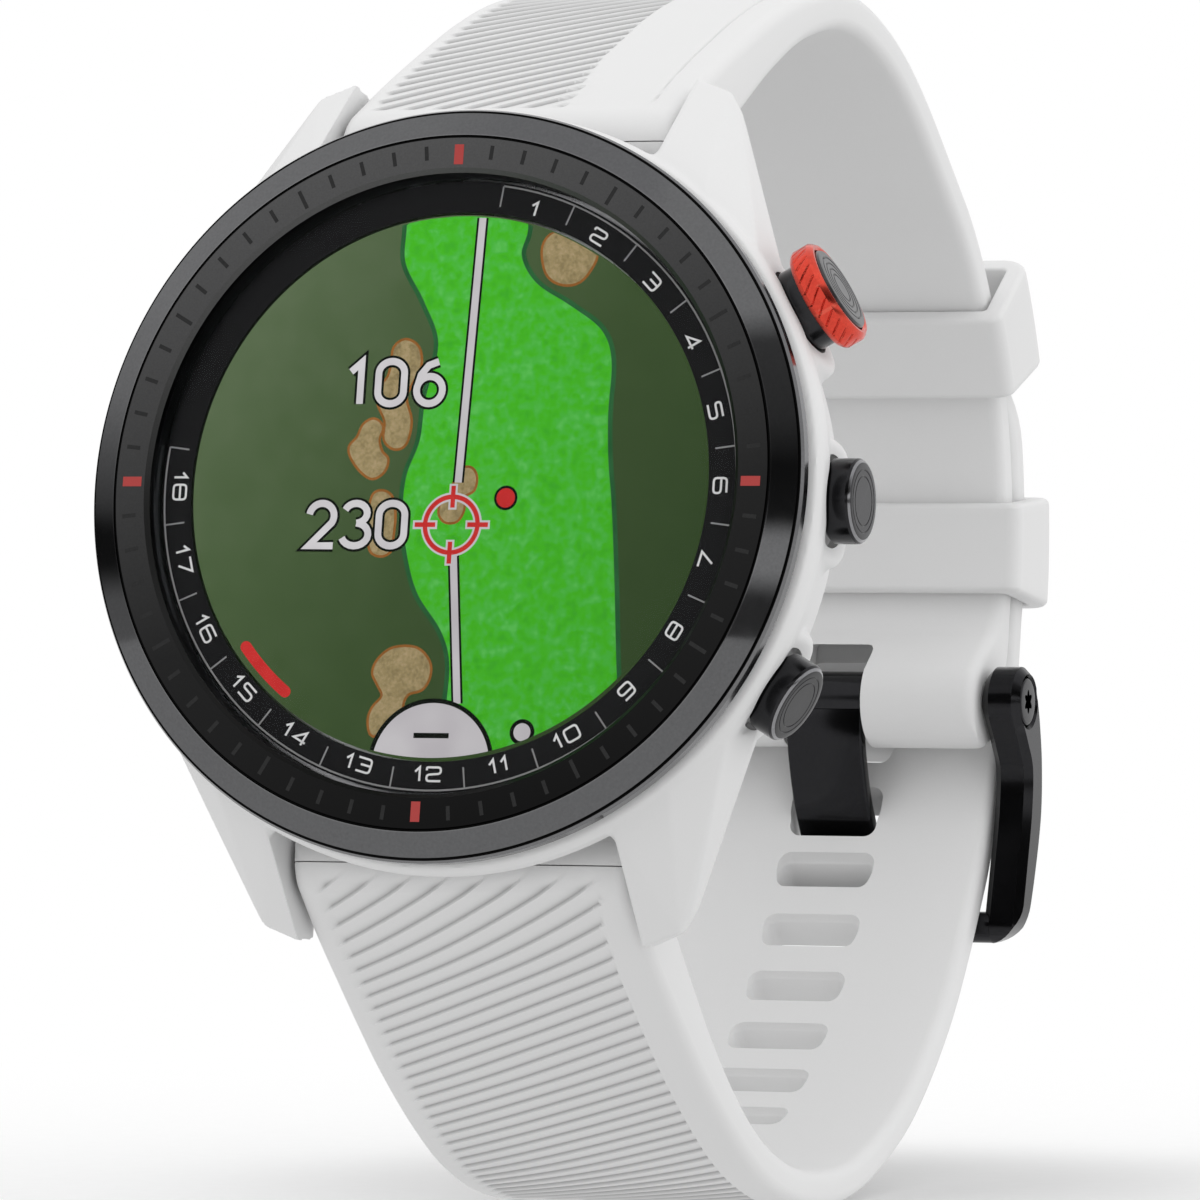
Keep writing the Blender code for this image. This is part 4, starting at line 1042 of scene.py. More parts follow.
rear_screw = fillet([(0, -13.85), (1.1, -13.85), (1.1, -13.5), (0.6, -13.5), (0.6, -9.6), (0, -9.6)],
                    {1: 0.12}, 3)
for n, (x, y) in enumerate(SCREWS, 1):
    lobes = [box((-0.14, 0.14), (-0.62, 0.62), (-14.0, -13.62),
                 Matrix.Rotation(math.radians(60 * k), 4, "Z")) for k in range(3)]
    screw = moved(cut(turned(rear_screw, 32), lobes), Matrix.Translation((x, y, 0)))
    add_head(f"rear_screw_{n}", screw, "brushed_steel", f"rear_cover_screw_{n}")

window = fillet([(0, -14.8), (7.4, -14.8), (8.3, -14.3), (8.5, -13.8), (8.5, -12.6), (0, -12.6)],
                {1: 1.2, 2: 0.6, 3: 0.4}, 6)
add_head("rear_sensor_window", turned(window, 128), "sensor_window_gloss",
         "sensor_window")
leds = [prism(softened([(-0.8, y - 0.5), (0.8, y - 0.5), (0.8, y + 0.5), (-0.8, y + 0.5)], 0.2, True),
              -14.80, -14.795) for y in (2.6, -2.6)]
add_head("rear_sensor_leds", joined(leds), "sensor_led_green")
diodes = [turned([(0, -14.803), (0.9, -14.803), (1.05, -14.79), (0, -14.79)], 40,
                 matrix=Matrix.Translation((x, 0, 0))) for x in (-3.6, 3.6)]
add_head("rear_sensor_photodiodes", joined(diodes), "cell_foil")

# ================================================================ buttons
# profiles are (radius, distance out from the watch's axis)
KNURLS = 26


def knurl(radius, height, angle):
    """Slanting grooves cut into the outer side of the ring."""
    if radius < 3.0:
        return 0.0
    grip = max(0.0, min(1.0, (height - 24.78) / 0.12)) * max(0.0, min(1.0, (25.80 - height) / 0.12))
    wave = abs(((angle / TAU * KNURLS + (height - 25.2) * 1.05) % 1.0) - 0.5) * 2
    return -0.10 * grip * (1 - wave / 0.2) if wave < 0.2 else 0.0


def upper_button(axis):
    """Grooved cap in a red knurled ring on a stem."""
    cap = [(0, 25.75), (2.56, 25.75), (2.7, 25.9), (2.7, 26.14), (2.6, 26.26), (2.42, 26.3)]
    for r in (2.05, 1.65, 1.25, 0.85):
        cap += [(r + 0.16, 26.3), (r + 0.08, 26.2), (r, 26.3)]
    cap += [(0.4, 26.3), (0, 26.28)]
    ring = [(2.78, 24.5), (3.08, 24.5), (3.28, 24.68)]
    ring += [(3.35, 24.82 + 0.0825 * k) for k in range(13)]
    ring += [(3.24, 25.98), (3.06, 26.15), (2.9, 26.15), (2.78, 26.02)]
    stem = [(0, 16.8), (0.93, 16.8), (0.93, 23.1), (2.5, 23.1), (2.65, 23.25), (2.65, 25.65),
            (0, 25.65)]
    add("button_upper_cap_turned", turned(cap, 120, matrix=axis), WATCH, "button_cap_black",
        "button_upper", "button_upper_cap", 20)
    add("button_upper_ring_knurled", turned(ring, 24 * KNURLS, matrix=axis, radial=knurl), WATCH,
        "button_red_anodised", "button_upper", "button_upper_ring", 25)
    add("button_upper_stem_turned", turned(stem, 96, matrix=axis), WATCH, "button_black_metal",
        "button_upper", "button_upper_stem")


def plain_button(where, axis):
    """Flat cap with two fine rings and a polished chamfer."""
    cap = [(0, 16.8), (1.0, 16.8), (1.0, 23.1), (2.45, 23.1), (2.6, 23.25), (2.6, 24.68)]
    chamfer = len(cap)
    cap += [(2.50, 24.83), (2.34, 24.95), (2.26, 24.97)]
    for r in (1.85, 1.45):
        cap += [(r + 0.10, 24.97), (r + 0.05, 24.93), (r, 24.97)]
    cap.append((0, 24.97))
    marks = [int(k == chamfer) for k in range(len(cap))]
    add(f"button_{where}_turned", turned(cap, 128, marks, matrix=axis), WATCH,
        ["button_black_metal", "button_polished_edge"], f"button_{where}",
        f"button_{where}_cap", 20)


for where, angle in BUTTONS.items():
    if where == "upper":
        upper_button(button_axis(angle))
    else:
        plain_button(where, button_axis(angle))

# ================================================================ strap: centre lines
PINS = {"upper": upright(PIN_Y, PIN_Z), "lower": upright(-PIN_Y, PIN_Z)}
BAND_HALF, BAND_T, TAIL_T = 11.0, 2.5, 2.4
OVERLAP_GAP = 0.15
ARC_Y, ARC_Z, ARC_R = 47.5, -3.0, 27.0  # the back of the loop; radius at the band's inner face
KNOB_Y, KNOB_Z, KNOB_R = 71.1, -14.7, 3.2  # roll that holds the buckle pin
UPPER_R = ARC_R + BAND_T / 2
TAIL_R = ARC_R + BAND_T + OVERLAP_GAP + TAIL_T / 2
PRONG_SLOT = (72.25, -23.2)


def arc_point(radius, degrees, thick):
    y, z = polar(radius, degrees)
    return ARC_Y + y, ARC_Z + z, thick


def back_arc(radius, start, stop, thick):
    """Points each degree along the back of the loop."""
    count = abs(stop - start)
    return [arc_point(radius, start + (stop - start) * k / count, thick) for k in range(count + 1)]


# y, z, thickness along each strap from its lug pin
upper_path = spline([
    (*PINS["upper"], 5.6), (18.2, 22.8, 4.9), (23.2, 25.1, 4.2), (29.4, 27.7, 3.5),
    (36.0, 29.7, 2.9), (43.6, 30.5, 2.6), (50.6, 28.9, BAND_T), (57.3, 25.3, BAND_T),
    arc_point(UPPER_R, 48, BAND_T)])[:-1]
upper_path += back_arc(UPPER_R, 48, -11, BAND_T)
upper_path += spline([arc_point(UPPER_R, -11, BAND_T), (74.2, -11.0, 3.8), (72.8, -12.8, 5.2),
                      (KNOB_Y, KNOB_Z, 2 * KNOB_R)])[1:]
lower_path = spline([
    (*PINS["lower"], 4.9), (8.4, -26.7, 4.75), (11.3, -29.6, 4.4), (14.6, -32.9, 3.9),
    (18.0, -36.1, 3.4), (22.6, -39.7, 2.9), (27.2, -42.5, 2.6), (32.3, -44.4, TAIL_T),
    (37.5, -45.3, TAIL_T), (43.0, -45.3, TAIL_T), (48.6, -44.2, TAIL_T), (56.0, -41.15, TAIL_T),
    (63.65, -35.15, TAIL_T), (69.8, -27.4, TAIL_T), (*PRONG_SLOT, TAIL_T), (76.3, -15.3, TAIL_T),
    arc_point(TAIL_R, -11, TAIL_T)])[:-1]
lower_path += back_arc(TAIL_R, -11, 27, TAIL_T)


class Path:
    """A centre line by length, with the radii of the rolls at its ends.

    outside is the side of the outer face: 1 to the left of the way along, -1 to the right,
    seen with y to the right and z up.
    """

    def __init__(self, points, outside=1, rolls=(0.0, 0.0)):
        self.points = np.array(points, float)
        steps = np.linalg.norm(np.diff(self.points[:, :2], axis=0), axis=1)
        self.lengths = np.concatenate([[0], np.cumsum(steps)])
        self.length = self.lengths[-1]
        self.outside = outside
        self.rolls = rolls

    def row(self, s):
        return np.array([np.interp(s, self.lengths, column) for column in self.points.T])

    def at(self, s):
        """Centre, tangent and thickness; past the ends the thickness is the roll's."""
        if 0 <= s <= self.length:
            here = self.row(s)
            along = (self.row(min(s + 0.6, self.length)) - self.row(max(s - 0.6, 0.0)))[:2]
            return here[:2], along / np.linalg.norm(along), float(here[2])
        first = s < 0
        past = -s if first else s - self.length
        end, inner = self.points[[0, 2] if first else [-1, -3], :2]
        out = (end - inner) / np.linalg.norm(end - inner)
        roll = self.rolls[0 if first else 1]
        thick = 2 * math.sqrt(max(roll * roll - past * past, 0.0))
        return end + out * past, -out if first else out, thick

    def nearest(self, point):
        gaps = np.linalg.norm(self.points[:, :2] - np.array(point), axis=1)
        return float(self.lengths[int(np.argmin(gaps))])

    def frame(self, s):
        """Centre, normal and tangent in 3D; the normal is left of the way along."""
        centre, along, _ = self.at(s)
        centre, along = Vector(centre), Vector(along)
        return Vector((0, *centre)), Vector((0, -along.y, along.x)), Vector((0, *along))


PATHS = {"upper": Path(upper_path, 1, (2.8, KNOB_R)), "lower": Path(lower_path, -1, (2.45, 0.0))}

# ---------------------------------------------------------------- strap: slats
SLAT_DEPTH = 0.22
GRAIN = 14  # mesh rows along one slat; columns let the slats' steps run corner to corner
GRID_STEP = 0.02
GRID = np.arange(-2.4, 60, GRID_STEP)


class Slats:
    """Slats leaning across a strap, counted along it; the count is 0 at (s, x)."""

    def __init__(self, pitch, lean, s, x):
        self.lean = lean
        self.counts = np.cumsum(1 / pitch) * GRID_STEP
        self.phase = np.interp(s, GRID, self.counts) + lean * x

    def count(self, s, x):
        return np.interp(s, GRID, self.counts) + self.lean * x - self.phase

    def depth(self, s, x):
        """Depth across one slat: it sinks slowly, then steps back out within one row."""
        share = round((self.count(s, x) % 1.0) * GRAIN, 3) % GRAIN / (GRAIN - 1)
        if share > 1.0:
            return SLAT_DEPTH * max(0.0, (GRAIN / (GRAIN - 1) - share) * (GRAIN - 1))
        return SLAT_DEPTH * share ** 1.15

    def columns(self, low, high):
        """Columns whose count steps are whole rows of the slats' grid."""
        step = 1 / GRAIN / abs(self.lean)
        return [low + step * k for k in range(int((high - low) / step) + 1)]

    def rows(self, low_x, start, end):
        """Lengths where the count at low_x is a whole row."""
        first = math.ceil(self.count(start, low_x) * GRAIN)
        last = math.floor(self.count(end, low_x) * GRAIN)
        counts = np.arange(first, last + 1) / GRAIN - self.lean * low_x + self.phase
        return [float(s) for s in np.interp(counts, self.counts, GRID)]


LOWER_SLATS = Slats(1.1 + 0.65 * np.exp(-np.maximum(GRID, 0) / 6.0), lean=0.415, s=8.59, x=-9.55)
UPPER_SLATS = Slats(1.4 + 0.002 * (GRID - 10) ** 2, lean=-0.5, s=9.41, x=-9.95)


def smoothstep(x, low, high):
    t = min(1.0, max(0.0, (x - low) / (high - low)))
    return t * t * (3 - 2 * t)


def plateau(x, rise, fall):
    return smoothstep(x, *rise) * (1 - smoothstep(x, *fall))


def depth_lower(s, x):
    edge = 8.4 + 0.7 * math.exp(-max(s, 0) / 2.0)
    mask = plateau(x, (-9.75, -8.9), (edge - 0.03, edge + 0.03))
    return LOWER_SLATS.depth(s, x) * mask * plateau(s, (-1.9, -0.6), (37.6, 38.1))


def depth_upper(s, x):
    """Slats up to an edge, and a single fine line near the +x side."""
    edge = 2.3 + 0.9 * math.exp(-max(s - 4, 0) / 4.0)
    mask = plateau(x, (-10.05, -9.5), (edge - 0.04, edge + 0.04))
    line = max(0.0, 1 - abs(x - 8.6 - 0.4 * math.exp(-s / 5.0)) / 0.09)
    along = plateau(s, (0.5, 1.2), (30.6, 31.1))
    return UPPER_SLATS.depth(s, x) * mask * along + 0.16 * line * along


FLAT_HALF = 10.15  # the columns' reach, scaled to each section's flat
COLUMNS_LOWER = [-FLAT_HALF, *LOWER_SLATS.columns(-9.95, 8.36),
                 8.40, 8.44, 8.62, 8.8, 9.05, 9.4, FLAT_HALF]
COLUMNS_UPPER = [-FLAT_HALF, *UPPER_SLATS.columns(-10.08, 2.24),
                 2.28, 2.34, 2.55, 2.75, 3.0, 3.4, 4.6, 6.2, 7.6, 8.4, 8.5, 8.56, 8.62, 8.68,
                 8.75, 8.85, 9.0, 9.15, 9.6, FLAT_HALF]


# ---------------------------------------------------------------- strap: bands
def band_ring(path, s, columns, half, inset, depth):
    """One cross-section: outer face, rounded edges, sides and inner face."""
    centre, along, thick = path.at(s)
    normal = np.array([-along[1], along[0]]) * path.outside
    t = max(thick / 2 - inset, 0.02)
    corner = min(0.85, t * 0.62)
    flat_half = half - inset - corner
    scale = flat_half / FLAT_HALF

    def edge(side, face, angles):
        turns = [polar(corner, a) for a in angles]
        return [(side * flat_half + x, face * (t - corner) + y) for x, y in turns]

    dips = [depth(s, x) for x in columns]
    points = [(x * scale, t - min(dip, t * 0.5)) for x, dip in zip(columns, dips)]
    points += edge(1, 1, range(75, -1, -15)) + edge(1, -1, range(0, -91, -18))
    points += [(x * scale, -t) for x in (6.6, 3.3, 0.0, -3.3, -6.6)]
    points += edge(-1, -1, range(-90, -181, -18)) + edge(-1, 1, range(180, 104, -15))
    dips += [0.0] * (len(points) - len(dips))
    return [(x, centre[0] + normal[0] * n, centre[1] + normal[1] * n) for x, n in points], dips


def tail_half(s, path):
    """Half width, narrowing over the last 9 mm of the tail."""
    left = path.length - s
    return BAND_HALF - 4.4 * (1 - left / 9.0) ** 2.2 if left < 9.0 else BAND_HALF


def band(path, slats, columns, depth, groove, rounded_tip):
    """The solid strap with the points and slat depths it was made from."""
    groove_start, groove_end = groove
    roll = [-path.rolls[0] * math.sin(math.radians(a)) for a in range(86, 0, -6)]
    lengths = [s for s in roll if s < groove_start - 0.03]
    if groove_start > 0:
        lengths.append(0.0)
    lengths += slats.rows(columns[1], groove_start, groove_end + 0.4)
    start = lengths[-1]
    tip = 0.75
    end = path.length - (tip if rounded_tip else 0.0)
    count = max(2, int((end - start) / 0.8))
    lengths += [start + (end - start) * k / count for k in range(1, count + 1)]
    stations = [(s, 0.0) for s in lengths]  # length, inset
    if rounded_tip:
        stations += [(end + tip * math.sin(math.radians(a)), tip * (1 - math.cos(math.radians(a))))
                     for a in (15, 30, 45, 60, 72, 84)]
    else:
        stations += [(path.length + KNOB_R * math.sin(math.radians(a)), 0.0)
                     for a in (8, 16, 24, 32, 40, 48, 56, 64, 72, 80, 86)]
    rings, dips = [], []
    for s, inset in stations:
        half = tail_half(s, path) if rounded_tip else BAND_HALF
        ring, dip = band_ring(path, s, columns, half, inset, depth)
        rings.append(ring)
        dips.append(dip)
    mesh = loft(rings, slant=1 if slats.lean > 0 else -1)
    return mesh, np.concatenate([np.array(ring) for ring in rings]), np.concatenate(dips)


def shade_crevices(mesh, points, dips):
    """Stores how deep each point lies in a slat, from which the material paints shade into the crevices.
    """
    deep = np.where(dips > 0.02)[0]
    tree = KDTree(len(deep))
    for i in deep:
        tree.insert(points[i], int(i))
    tree.balance()
    values = np.zeros(len(mesh.vertices), np.float32)
    for i, vertex in enumerate(mesh.vertices):
        _, index, distance = tree.find(vertex.co)
        if index is not None and distance < 1e-3:
            values[i] = min(1.0, dips[index] / SLAT_DEPTH)
    mesh.attributes.new("painted_crevice_shade", "FLOAT", "POINT").data.foreach_set("value", values ** 5)


def slot_tool(path, s, width, height, lean, round_by):
    """A rounded slot leaning by degrees, its rims flared a little at both faces."""
    t = path.at(s)[2] / 2
    # distance from the mid surface, growth of the outline
    levels = [(-3.0, 0.2), (-t - 0.06, 0.13), (-t + 0.06, 0.05), (-t + 0.18, 0.0),
              (t - 0.18, 0.0), (t - 0.06, 0.05), (t + 0.06, 0.13), (3.0, 0.2)]
    rings = [[(x, y, level) for x, y in rounded_rectangle(width / 2 - round_by, height / 2 - round_by,
                                                          round_by + grow, 6)]
             for level, grow in levels]
    centre, normal, tangent = path.frame(s)
    turn = Matrix.Rotation(math.radians(lean), 3, "X")
    axes = axes_matrix(Vector((1, 0, 0)), turn @ tangent, turn @ normal)
    return moved(loft(rings), Matrix.Translation(centre) @ axes)


def lug_end(where):
    """Frame of a lug pin: x along it, z towards the face side of the watch."""
    across, faceward = (Vector((0, *upright(*way))) for way in ((1, 0), (0, 1)))
    return (Matrix.Translation((0, *PINS[where]))
            @ axes_matrix(Vector((1, 0, 0)), across, faceward))


def latch_place(where):
    """Frame of a release latch: z out of the strap's inner face, y along the strap."""
    path = PATHS[where]
    centre, normal, tangent = path.frame(7.4)
    normal = normal * -path.outside
    return Matrix.Translation(centre) @ axes_matrix(tangent.cross(normal), tangent, normal)


def end_tools(where):
    return [
        rod(*PINS[where], 1.72, -12, 12, 64),
        # soft lips of the bore that lie almost shut
        box((-12, 12), (-0.04, 0.04), (0, 6), lug_end(where)),
        # the latch's pocket
        box((-4.6, 4.6), (-3.4, 4.4), (0.5, 6), latch_place(where)),
    ]


def add_band(where, made, tools):
    mesh, points, dips = made
    mesh = cut(mesh, tools)
    shade_crevices(mesh, points, dips)
    add(f"strap_{where}_silicone", mesh, STAND, "strap_silicone", "strap",
        f"band_{where}", 35)


upper = band(PATHS["upper"], UPPER_SLATS, COLUMNS_UPPER, depth_upper, (0.3, 31.0), False)
tools = end_tools("upper")
tools.append(rod(KNOB_Y, KNOB_Z, 1.17, -12, 12))
# notch in the knob for the prong
tools.append(box((-3.0, 3.0), (KNOB_Y - 6, KNOB_Y + 6), (KNOB_Z - 7, KNOB_Z + 3.8), None, 0.5))
add_band("upper", upper, tools)

SLOT_PITCH = 4.8
# lean of the slots next to the prong's, by count along the strap; the others lean alike
SLOT_LEANS = {1: -34.0, 2: -24.0, -1: -23.0, -2: -18.0}
lower = band(PATHS["lower"], LOWER_SLATS, COLUMNS_LOWER, depth_lower, (-1.95, 38.0), True)
tools = end_tools("lower")
prong_s = PATHS["lower"].nearest(PRONG_SLOT)
for n in range(-6, 7):
    s = prong_s + SLOT_PITCH * n
    if n == 0:
        tools.append(slot_tool(PATHS["lower"], s - 0.05, 6.2, 3.4, -20.0, 0.8))
    else:
        tools.append(slot_tool(PATHS["lower"], s, 6.6, 2.35, SLOT_LEANS.get(n, -15.0), 0.7))
add_band("lower", lower, tools)

# ================================================================ keepers
KEEPERS = {"upper": 26.5, "lower": -3.0}  # angle on the back arc
KEEPER_HALF = 6.6  # degrees
KEEPER_WALL = 1.35
inner_r = ARC_R - 0.15
outer_r = ARC_R + BAND_T + OVERLAP_GAP + TAIL_T + 0.15
# half width, low and high radius on the arc, corner radii at the low and high side
KEEPER_OUTER = (12.55, inner_r - KEEPER_WALL, outer_r + KEEPER_WALL, 0.95, 1.75)
KEEPER_INNER = (11.2, inner_r, outer_r, 0.35, 0.35)


def keeper_ring(angle, section, inset):
    """A rounded rectangle in (x, radius) at one angle of the back arc."""
    half, low, high, low_round, high_round = section
    half, low, high = half - inset, low + inset, high - inset
    corners = []
    for side_x, side_r in CORNERS:
        r = max((high_round if side_r > 0 else low_round) - inset * 0.5, 0.1)
        corners.append((side_x * (half - r), high - r if side_r > 0 else low + r, r))
    c, s = polar(1, angle)
    return [(x, ARC_Y + r * c, ARC_Z + r * s) for x, r in quarter_arcs(corners, 5)]


def keeper_face(centre, section, edge, radius, steps, side):
    """Rings over the outer (side 1) or inner (side -1) face, the end rims rounded by edge."""
    reach = math.degrees(edge / radius)
    turns = [math.radians(90 // steps * k) for k in range(steps + 1)]
    rim = [(reach * (1 - math.cos(a)), side * edge * (1 - math.sin(a))) for a in turns]
    start, end = centre - KEEPER_HALF, centre + KEEPER_HALF
    stations = [(start + step, inset) for step, inset in rim]
    stations += [(start + reach + (2 * KEEPER_HALF - 2 * reach) * k / 14, 0.0) for k in range(1, 14)]
    stations += [(end - step, inset) for step, inset in reversed(rim)]
    return [keeper_ring(angle, section, inset) for angle, inset in stations]


for where, centre in KEEPERS.items():
    rings = keeper_face(centre, KEEPER_OUTER, edge=0.42, radius=31, steps=5, side=1)
    rings += keeper_face(centre, KEEPER_INNER, edge=0.2, radius=29, steps=3, side=-1)[::-1]
    add(f"keeper_{where}_silicone", loft(rings, closed=True), STAND, "keeper_silicone",
        f"keeper_{where}", f"keeper_{where}", 50)

# ================================================================ quick-release hooks and latches
for where in PATHS:
    hook = rod(*PINS[where], 1.6, -10.6, 10.6, 64, bore=0.87, edge=0.12)
    hook = cut(hook, [box((-12, 12), (-0.87, 0.87), (0, 6), lug_end(where))])
    add(f"end_hook_{where}_formed", hook, STAND, "brushed_steel", "strap",
        f"end_hook_{where}")
    place = latch_place(where)
    plate = box((-4.3, 4.3), (-3.1, 2.1), (0.8, 1.7), place, 0.15)
    grips = [box((-3.2, 3.2), (0.55 + 0.55 * k, 0.83 + 0.55 * k), (1.4, 2.62), place, 0.1)
             for k in range(3)]
    add(f"latch_{where}_plate", union(plate, grips), STAND, "buckle_black_metal",
        f"latch_{where}", f"latch_{where}")

# ================================================================ buckle, drawn about the knob
KNOB = STAND @ Matrix.Translation((0, KNOB_Y, KNOB_Z))
ARM_IN, ARM_OUT = 11.3, 13.95  # x of an arm's faces
# y, z, width down the arm
ARM = [(0.0, 0.0, 4.7), (1.05, -2.1, 3.8), (1.8, -4.4, 2.9), (1.62, -7.6, 2.9),
       (0.52, -11.3, 2.7), (-0.95, -15.2, 2.2)]
# outlines drawn flat as (y, z) and as (x, z), then stood up
YZ_UP = Matrix(((0, 0, 1, 0), (1, 0, 0, 0), (0, 1, 0, 0), (0, 0, 0, 1)))
XZ_UP = Matrix(((1, 0, 0, 0), (0, 0, 1, 0), (0, 1, 0, 0), (0, 0, 0, 1)))


def arm_outline():
    path = spline(ARM, 8)
    left, right = [], []
    for i, (y, z, wide) in enumerate(path):
        before, after = path[max(i - 1, 0)], path[min(i + 1, len(path) - 1)]
        along = Vector((after[0] - before[0], after[1] - before[1])).normalized()
        normal = Vector((-along.y, along.x))
        left.append(Vector((y, z)) + normal * wide / 2)
        right.append(Vector((y, z)) - normal * wide / 2)

    def round_end(end, first, step):
        centre = Vector(end[:2])
        return [centre + Matrix.Rotation(math.radians(a), 2) @ (first - centre)
                for a in range(step, 180, step)][::-1]

    points = round_end(path[0], left[0], 12) + left + round_end(path[-1], right[-1], 15) + right[::-1]
    return [tuple(p) for p in points]


def sweep_cutter(side):
    """Rounds an arm's outer side into the crossbar."""
    foot, sweep = ARM[-1][1] - 1.1, 2.6
    inner = ARM_OUT - sweep
    corner = [(side * inner, foot - 1.0), (side * 14.6, foot - 1.0),
              (side * 14.6, foot + sweep), (side * ARM_OUT, foot + sweep)]
    for angle in range(-9, -90, -9):
        x, z = polar(sweep, angle)
        corner.append((side * (inner + x), foot + sweep + z))
    corner.append((side * inner, foot))
    return moved(prism(corner, -8.0, 8.0), XZ_UP)


outline = arm_outline()
right_arm, left_arm = (moved(prism(outline, low, high, 0.5, 1, both=True), YZ_UP)
                       for low, high in ((ARM_IN, ARM_OUT), (-ARM_OUT, -ARM_IN)))
crossbar = rod(*ARM[-1][:2], 1.05, -12.7, 12.7)
buckle = union(right_arm, [left_arm, crossbar])
SCREW_SIDES = {"right": 1, "left": -1}
head_seat = [(0, 13.05), (1.72, 13.05), (1.72, 13.72), (1.9, 13.98), (1.9, 15.0), (0, 15.0)]
shank_hole = [(0, 10.5), (0.7, 10.5), (0.7, 14.5), (0, 14.5)]
tools = []
for side in SCREW_SIDES.values():
    along_x = Matrix.Rotation(math.radians(90 * side), 4, "Y")
    tools.append(turned(head_seat, 64, matrix=along_x))
    tools.append(turned(shank_hole, 32, matrix=along_x))
    tools.append(sweep_cutter(side))
add("buckle_frame_forged", cut(buckle, tools), KNOB, "buckle_black_metal", "buckle",
    "buckle_frame", 24)
add("buckle_pin_turned", rod(0, 0, 1.05, -11.1, 11.1, bore=0.62, edge=0.1), KNOB,
    "brushed_steel", "buckle", "buckle_pin")

buckle_screw = fillet([(0, 8.6), (0.54, 8.6), (0.54, 13.15), (1.62, 13.15), (1.62, 13.9), (0, 13.9)],
                      {4: 0.22})
star = []
for k in range(72):
    angle = TAU * k / 72
    reach = 0.66 + 0.15 * math.cos(6 * angle)
    star.append((reach * math.cos(angle), reach * math.sin(angle)))
for which, side in SCREW_SIDES.items():
    along_x = Matrix.Rotation(math.radians(90 * side), 4, "Y")
    screw = cut(turned(buckle_screw, 64, matrix=along_x), [moved(prism(star, 13.3, 15.0), along_x)])
    add(f"buckle_screw_{which}_star", screw, KNOB, "buckle_black_metal", "buckle",
        f"buckle_screw_{which}", 24)

# ---------------------------------------------------------------- prong
# y, z down the tongue
TONGUE = [(-1.45, -0.6), (-1.5, -3.0), (-0.35, -6.6), (1.35, -9.6), (2.25, -12.4), (2.15, -15.9)]
TONGUE_TIP = 0.4


def tongue():
    """Flat tongue with a rounded tip."""
    path = Path(spline(TONGUE, 8))
    stations = [(k * path.length / 40, 0.0) for k in range(39)]
    for angle in (0, 25, 50, 75):
        c, s = polar(1, angle)
        stations.append((path.length - TONGUE_TIP + TONGUE_TIP * s, TONGUE_TIP * (1 - c)))
    rings = []
    for s, inset in stations:
        here = path.row(s)
        along = path.row(min(s + 0.6, path.length)) - path.row(max(s - 0.6, 0.0))
        along = along / np.linalg.norm(along)
        half_x, half_t = 2.70 - inset, 0.5 - inset * 0.9
        r = min(0.22, half_t * 0.8)
        rings.append([(x, here[0] - along[1] * n, here[1] + along[0] * n)
                      for x, n in rounded_rectangle(half_x - r, half_t - r, r, 4)])
    return loft(rings)


barrel = rod(0, 0, 1.95, -2.72, 2.72, 72, edge=0.25)
prong = cut(union(barrel, [tongue()]), [rod(0, 0, 1.17, -4, 4)])
add("buckle_prong_tongue", prong, KNOB, "buckle_black_metal", "prong",
    "buckle_prong", 28)

# ================================================================ finishes of the frame's own parts
FINISH = {
    "bezel_gasket": "seal_rubber_black", "gps_antenna": "contact_gold",
    "main_board": "board_solder_mask", "battery_cell": "cell_foil",
    "sensor_board": "board_solder_mask", "rear_gasket": "seal_rubber_black",
    "charge_socket": "plastic_black",
}


def finish_of(name):
    if name in FINISH:
        return FINISH[name]
    if name.startswith("charge_contact"):
        return "contact_gold"
    if name.startswith("switch_"):
        return "plastic_black"
    return "seal_rubber_black" if name.endswith("_seal") else "brushed_steel"


for name, obj in frame["nodes"].items():
    if obj.hide_render:
        continue
    if not obj.material_slots:
        obj.data.materials.append(None)
    for material_slot in obj.material_slots:
        material_slot.material = MATERIALS[finish_of(name)]

# ================================================================ floor (metres)
FLOOR_HALF = 0.75
floor_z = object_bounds()[0].z - 0.00002
floor_mesh = to_mesh([(x * FLOOR_HALF, y * FLOOR_HALF, floor_z)
                      for x, y in ((-1, -1), (1, -1), (1, 1), (-1, 1))], [(0, 1, 2, 3)])
floor_mesh.name = "floor"
floor = bpy.data.objects.new("floor", floor_mesh)
scene.collection.objects.link(floor)


def floor_paper():
    """White paper with a painted shadow where the watch stands on it, that fades into the background."""
    graph, shader = new_material("floor_paper")
    grain = graph.noise(graph.coords(), scale=0.8, detail=3)
    paper = graph.mix(grain, (0.96,) * 3, (1.0,) * 3)
    # painted shadow: darker near where the watch touches the paper
    painted_contact_shadow = graph.map_range(graph.distance((0.0, 0.045, floor_z)), 0.008, 0.05,
                              to=(0.30, 0.0), kind="SMOOTHERSTEP")
    paper = graph.mix(painted_contact_shadow, paper, (0.2,) * 3)
    graph.feed(shader, {"Base Color": paper, "Roughness": 0.6, "Specular IOR Level": 0.15})
    seen = graph.node("LightPath").outputs
    # reflected and bounced light from the floor is a little dimmer
    glow = graph.calc("ADD", 1.0, graph.calc("MULTIPLY", seen["Is Diffuse Ray"], -0.32))
    glow = graph.calc("ADD", glow, graph.calc("MULTIPLY", seen["Is Glossy Ray"], -0.18))
    clear = graph.node("Emission", {"Color": (1.0,) * 3, "Strength": glow})
    # other parts see an even floor; only the camera sees the painted shadow and its fade into white
    fade = graph.map_range(graph.distance((0.0, 0.03, floor_z)), 0.05, 0.15)
    unseen = graph.calc("SUBTRACT", 1.0, seen["Is Camera Ray"])
    mixed = graph.node("MixShader", {0: graph.calc("MAXIMUM", fade, unseen),
                                     1: shader.outputs[0], 2: clear.outputs[0]})
    graph.feed(graph.tree.nodes["Material Output"], {"Surface": mixed.outputs[0]})


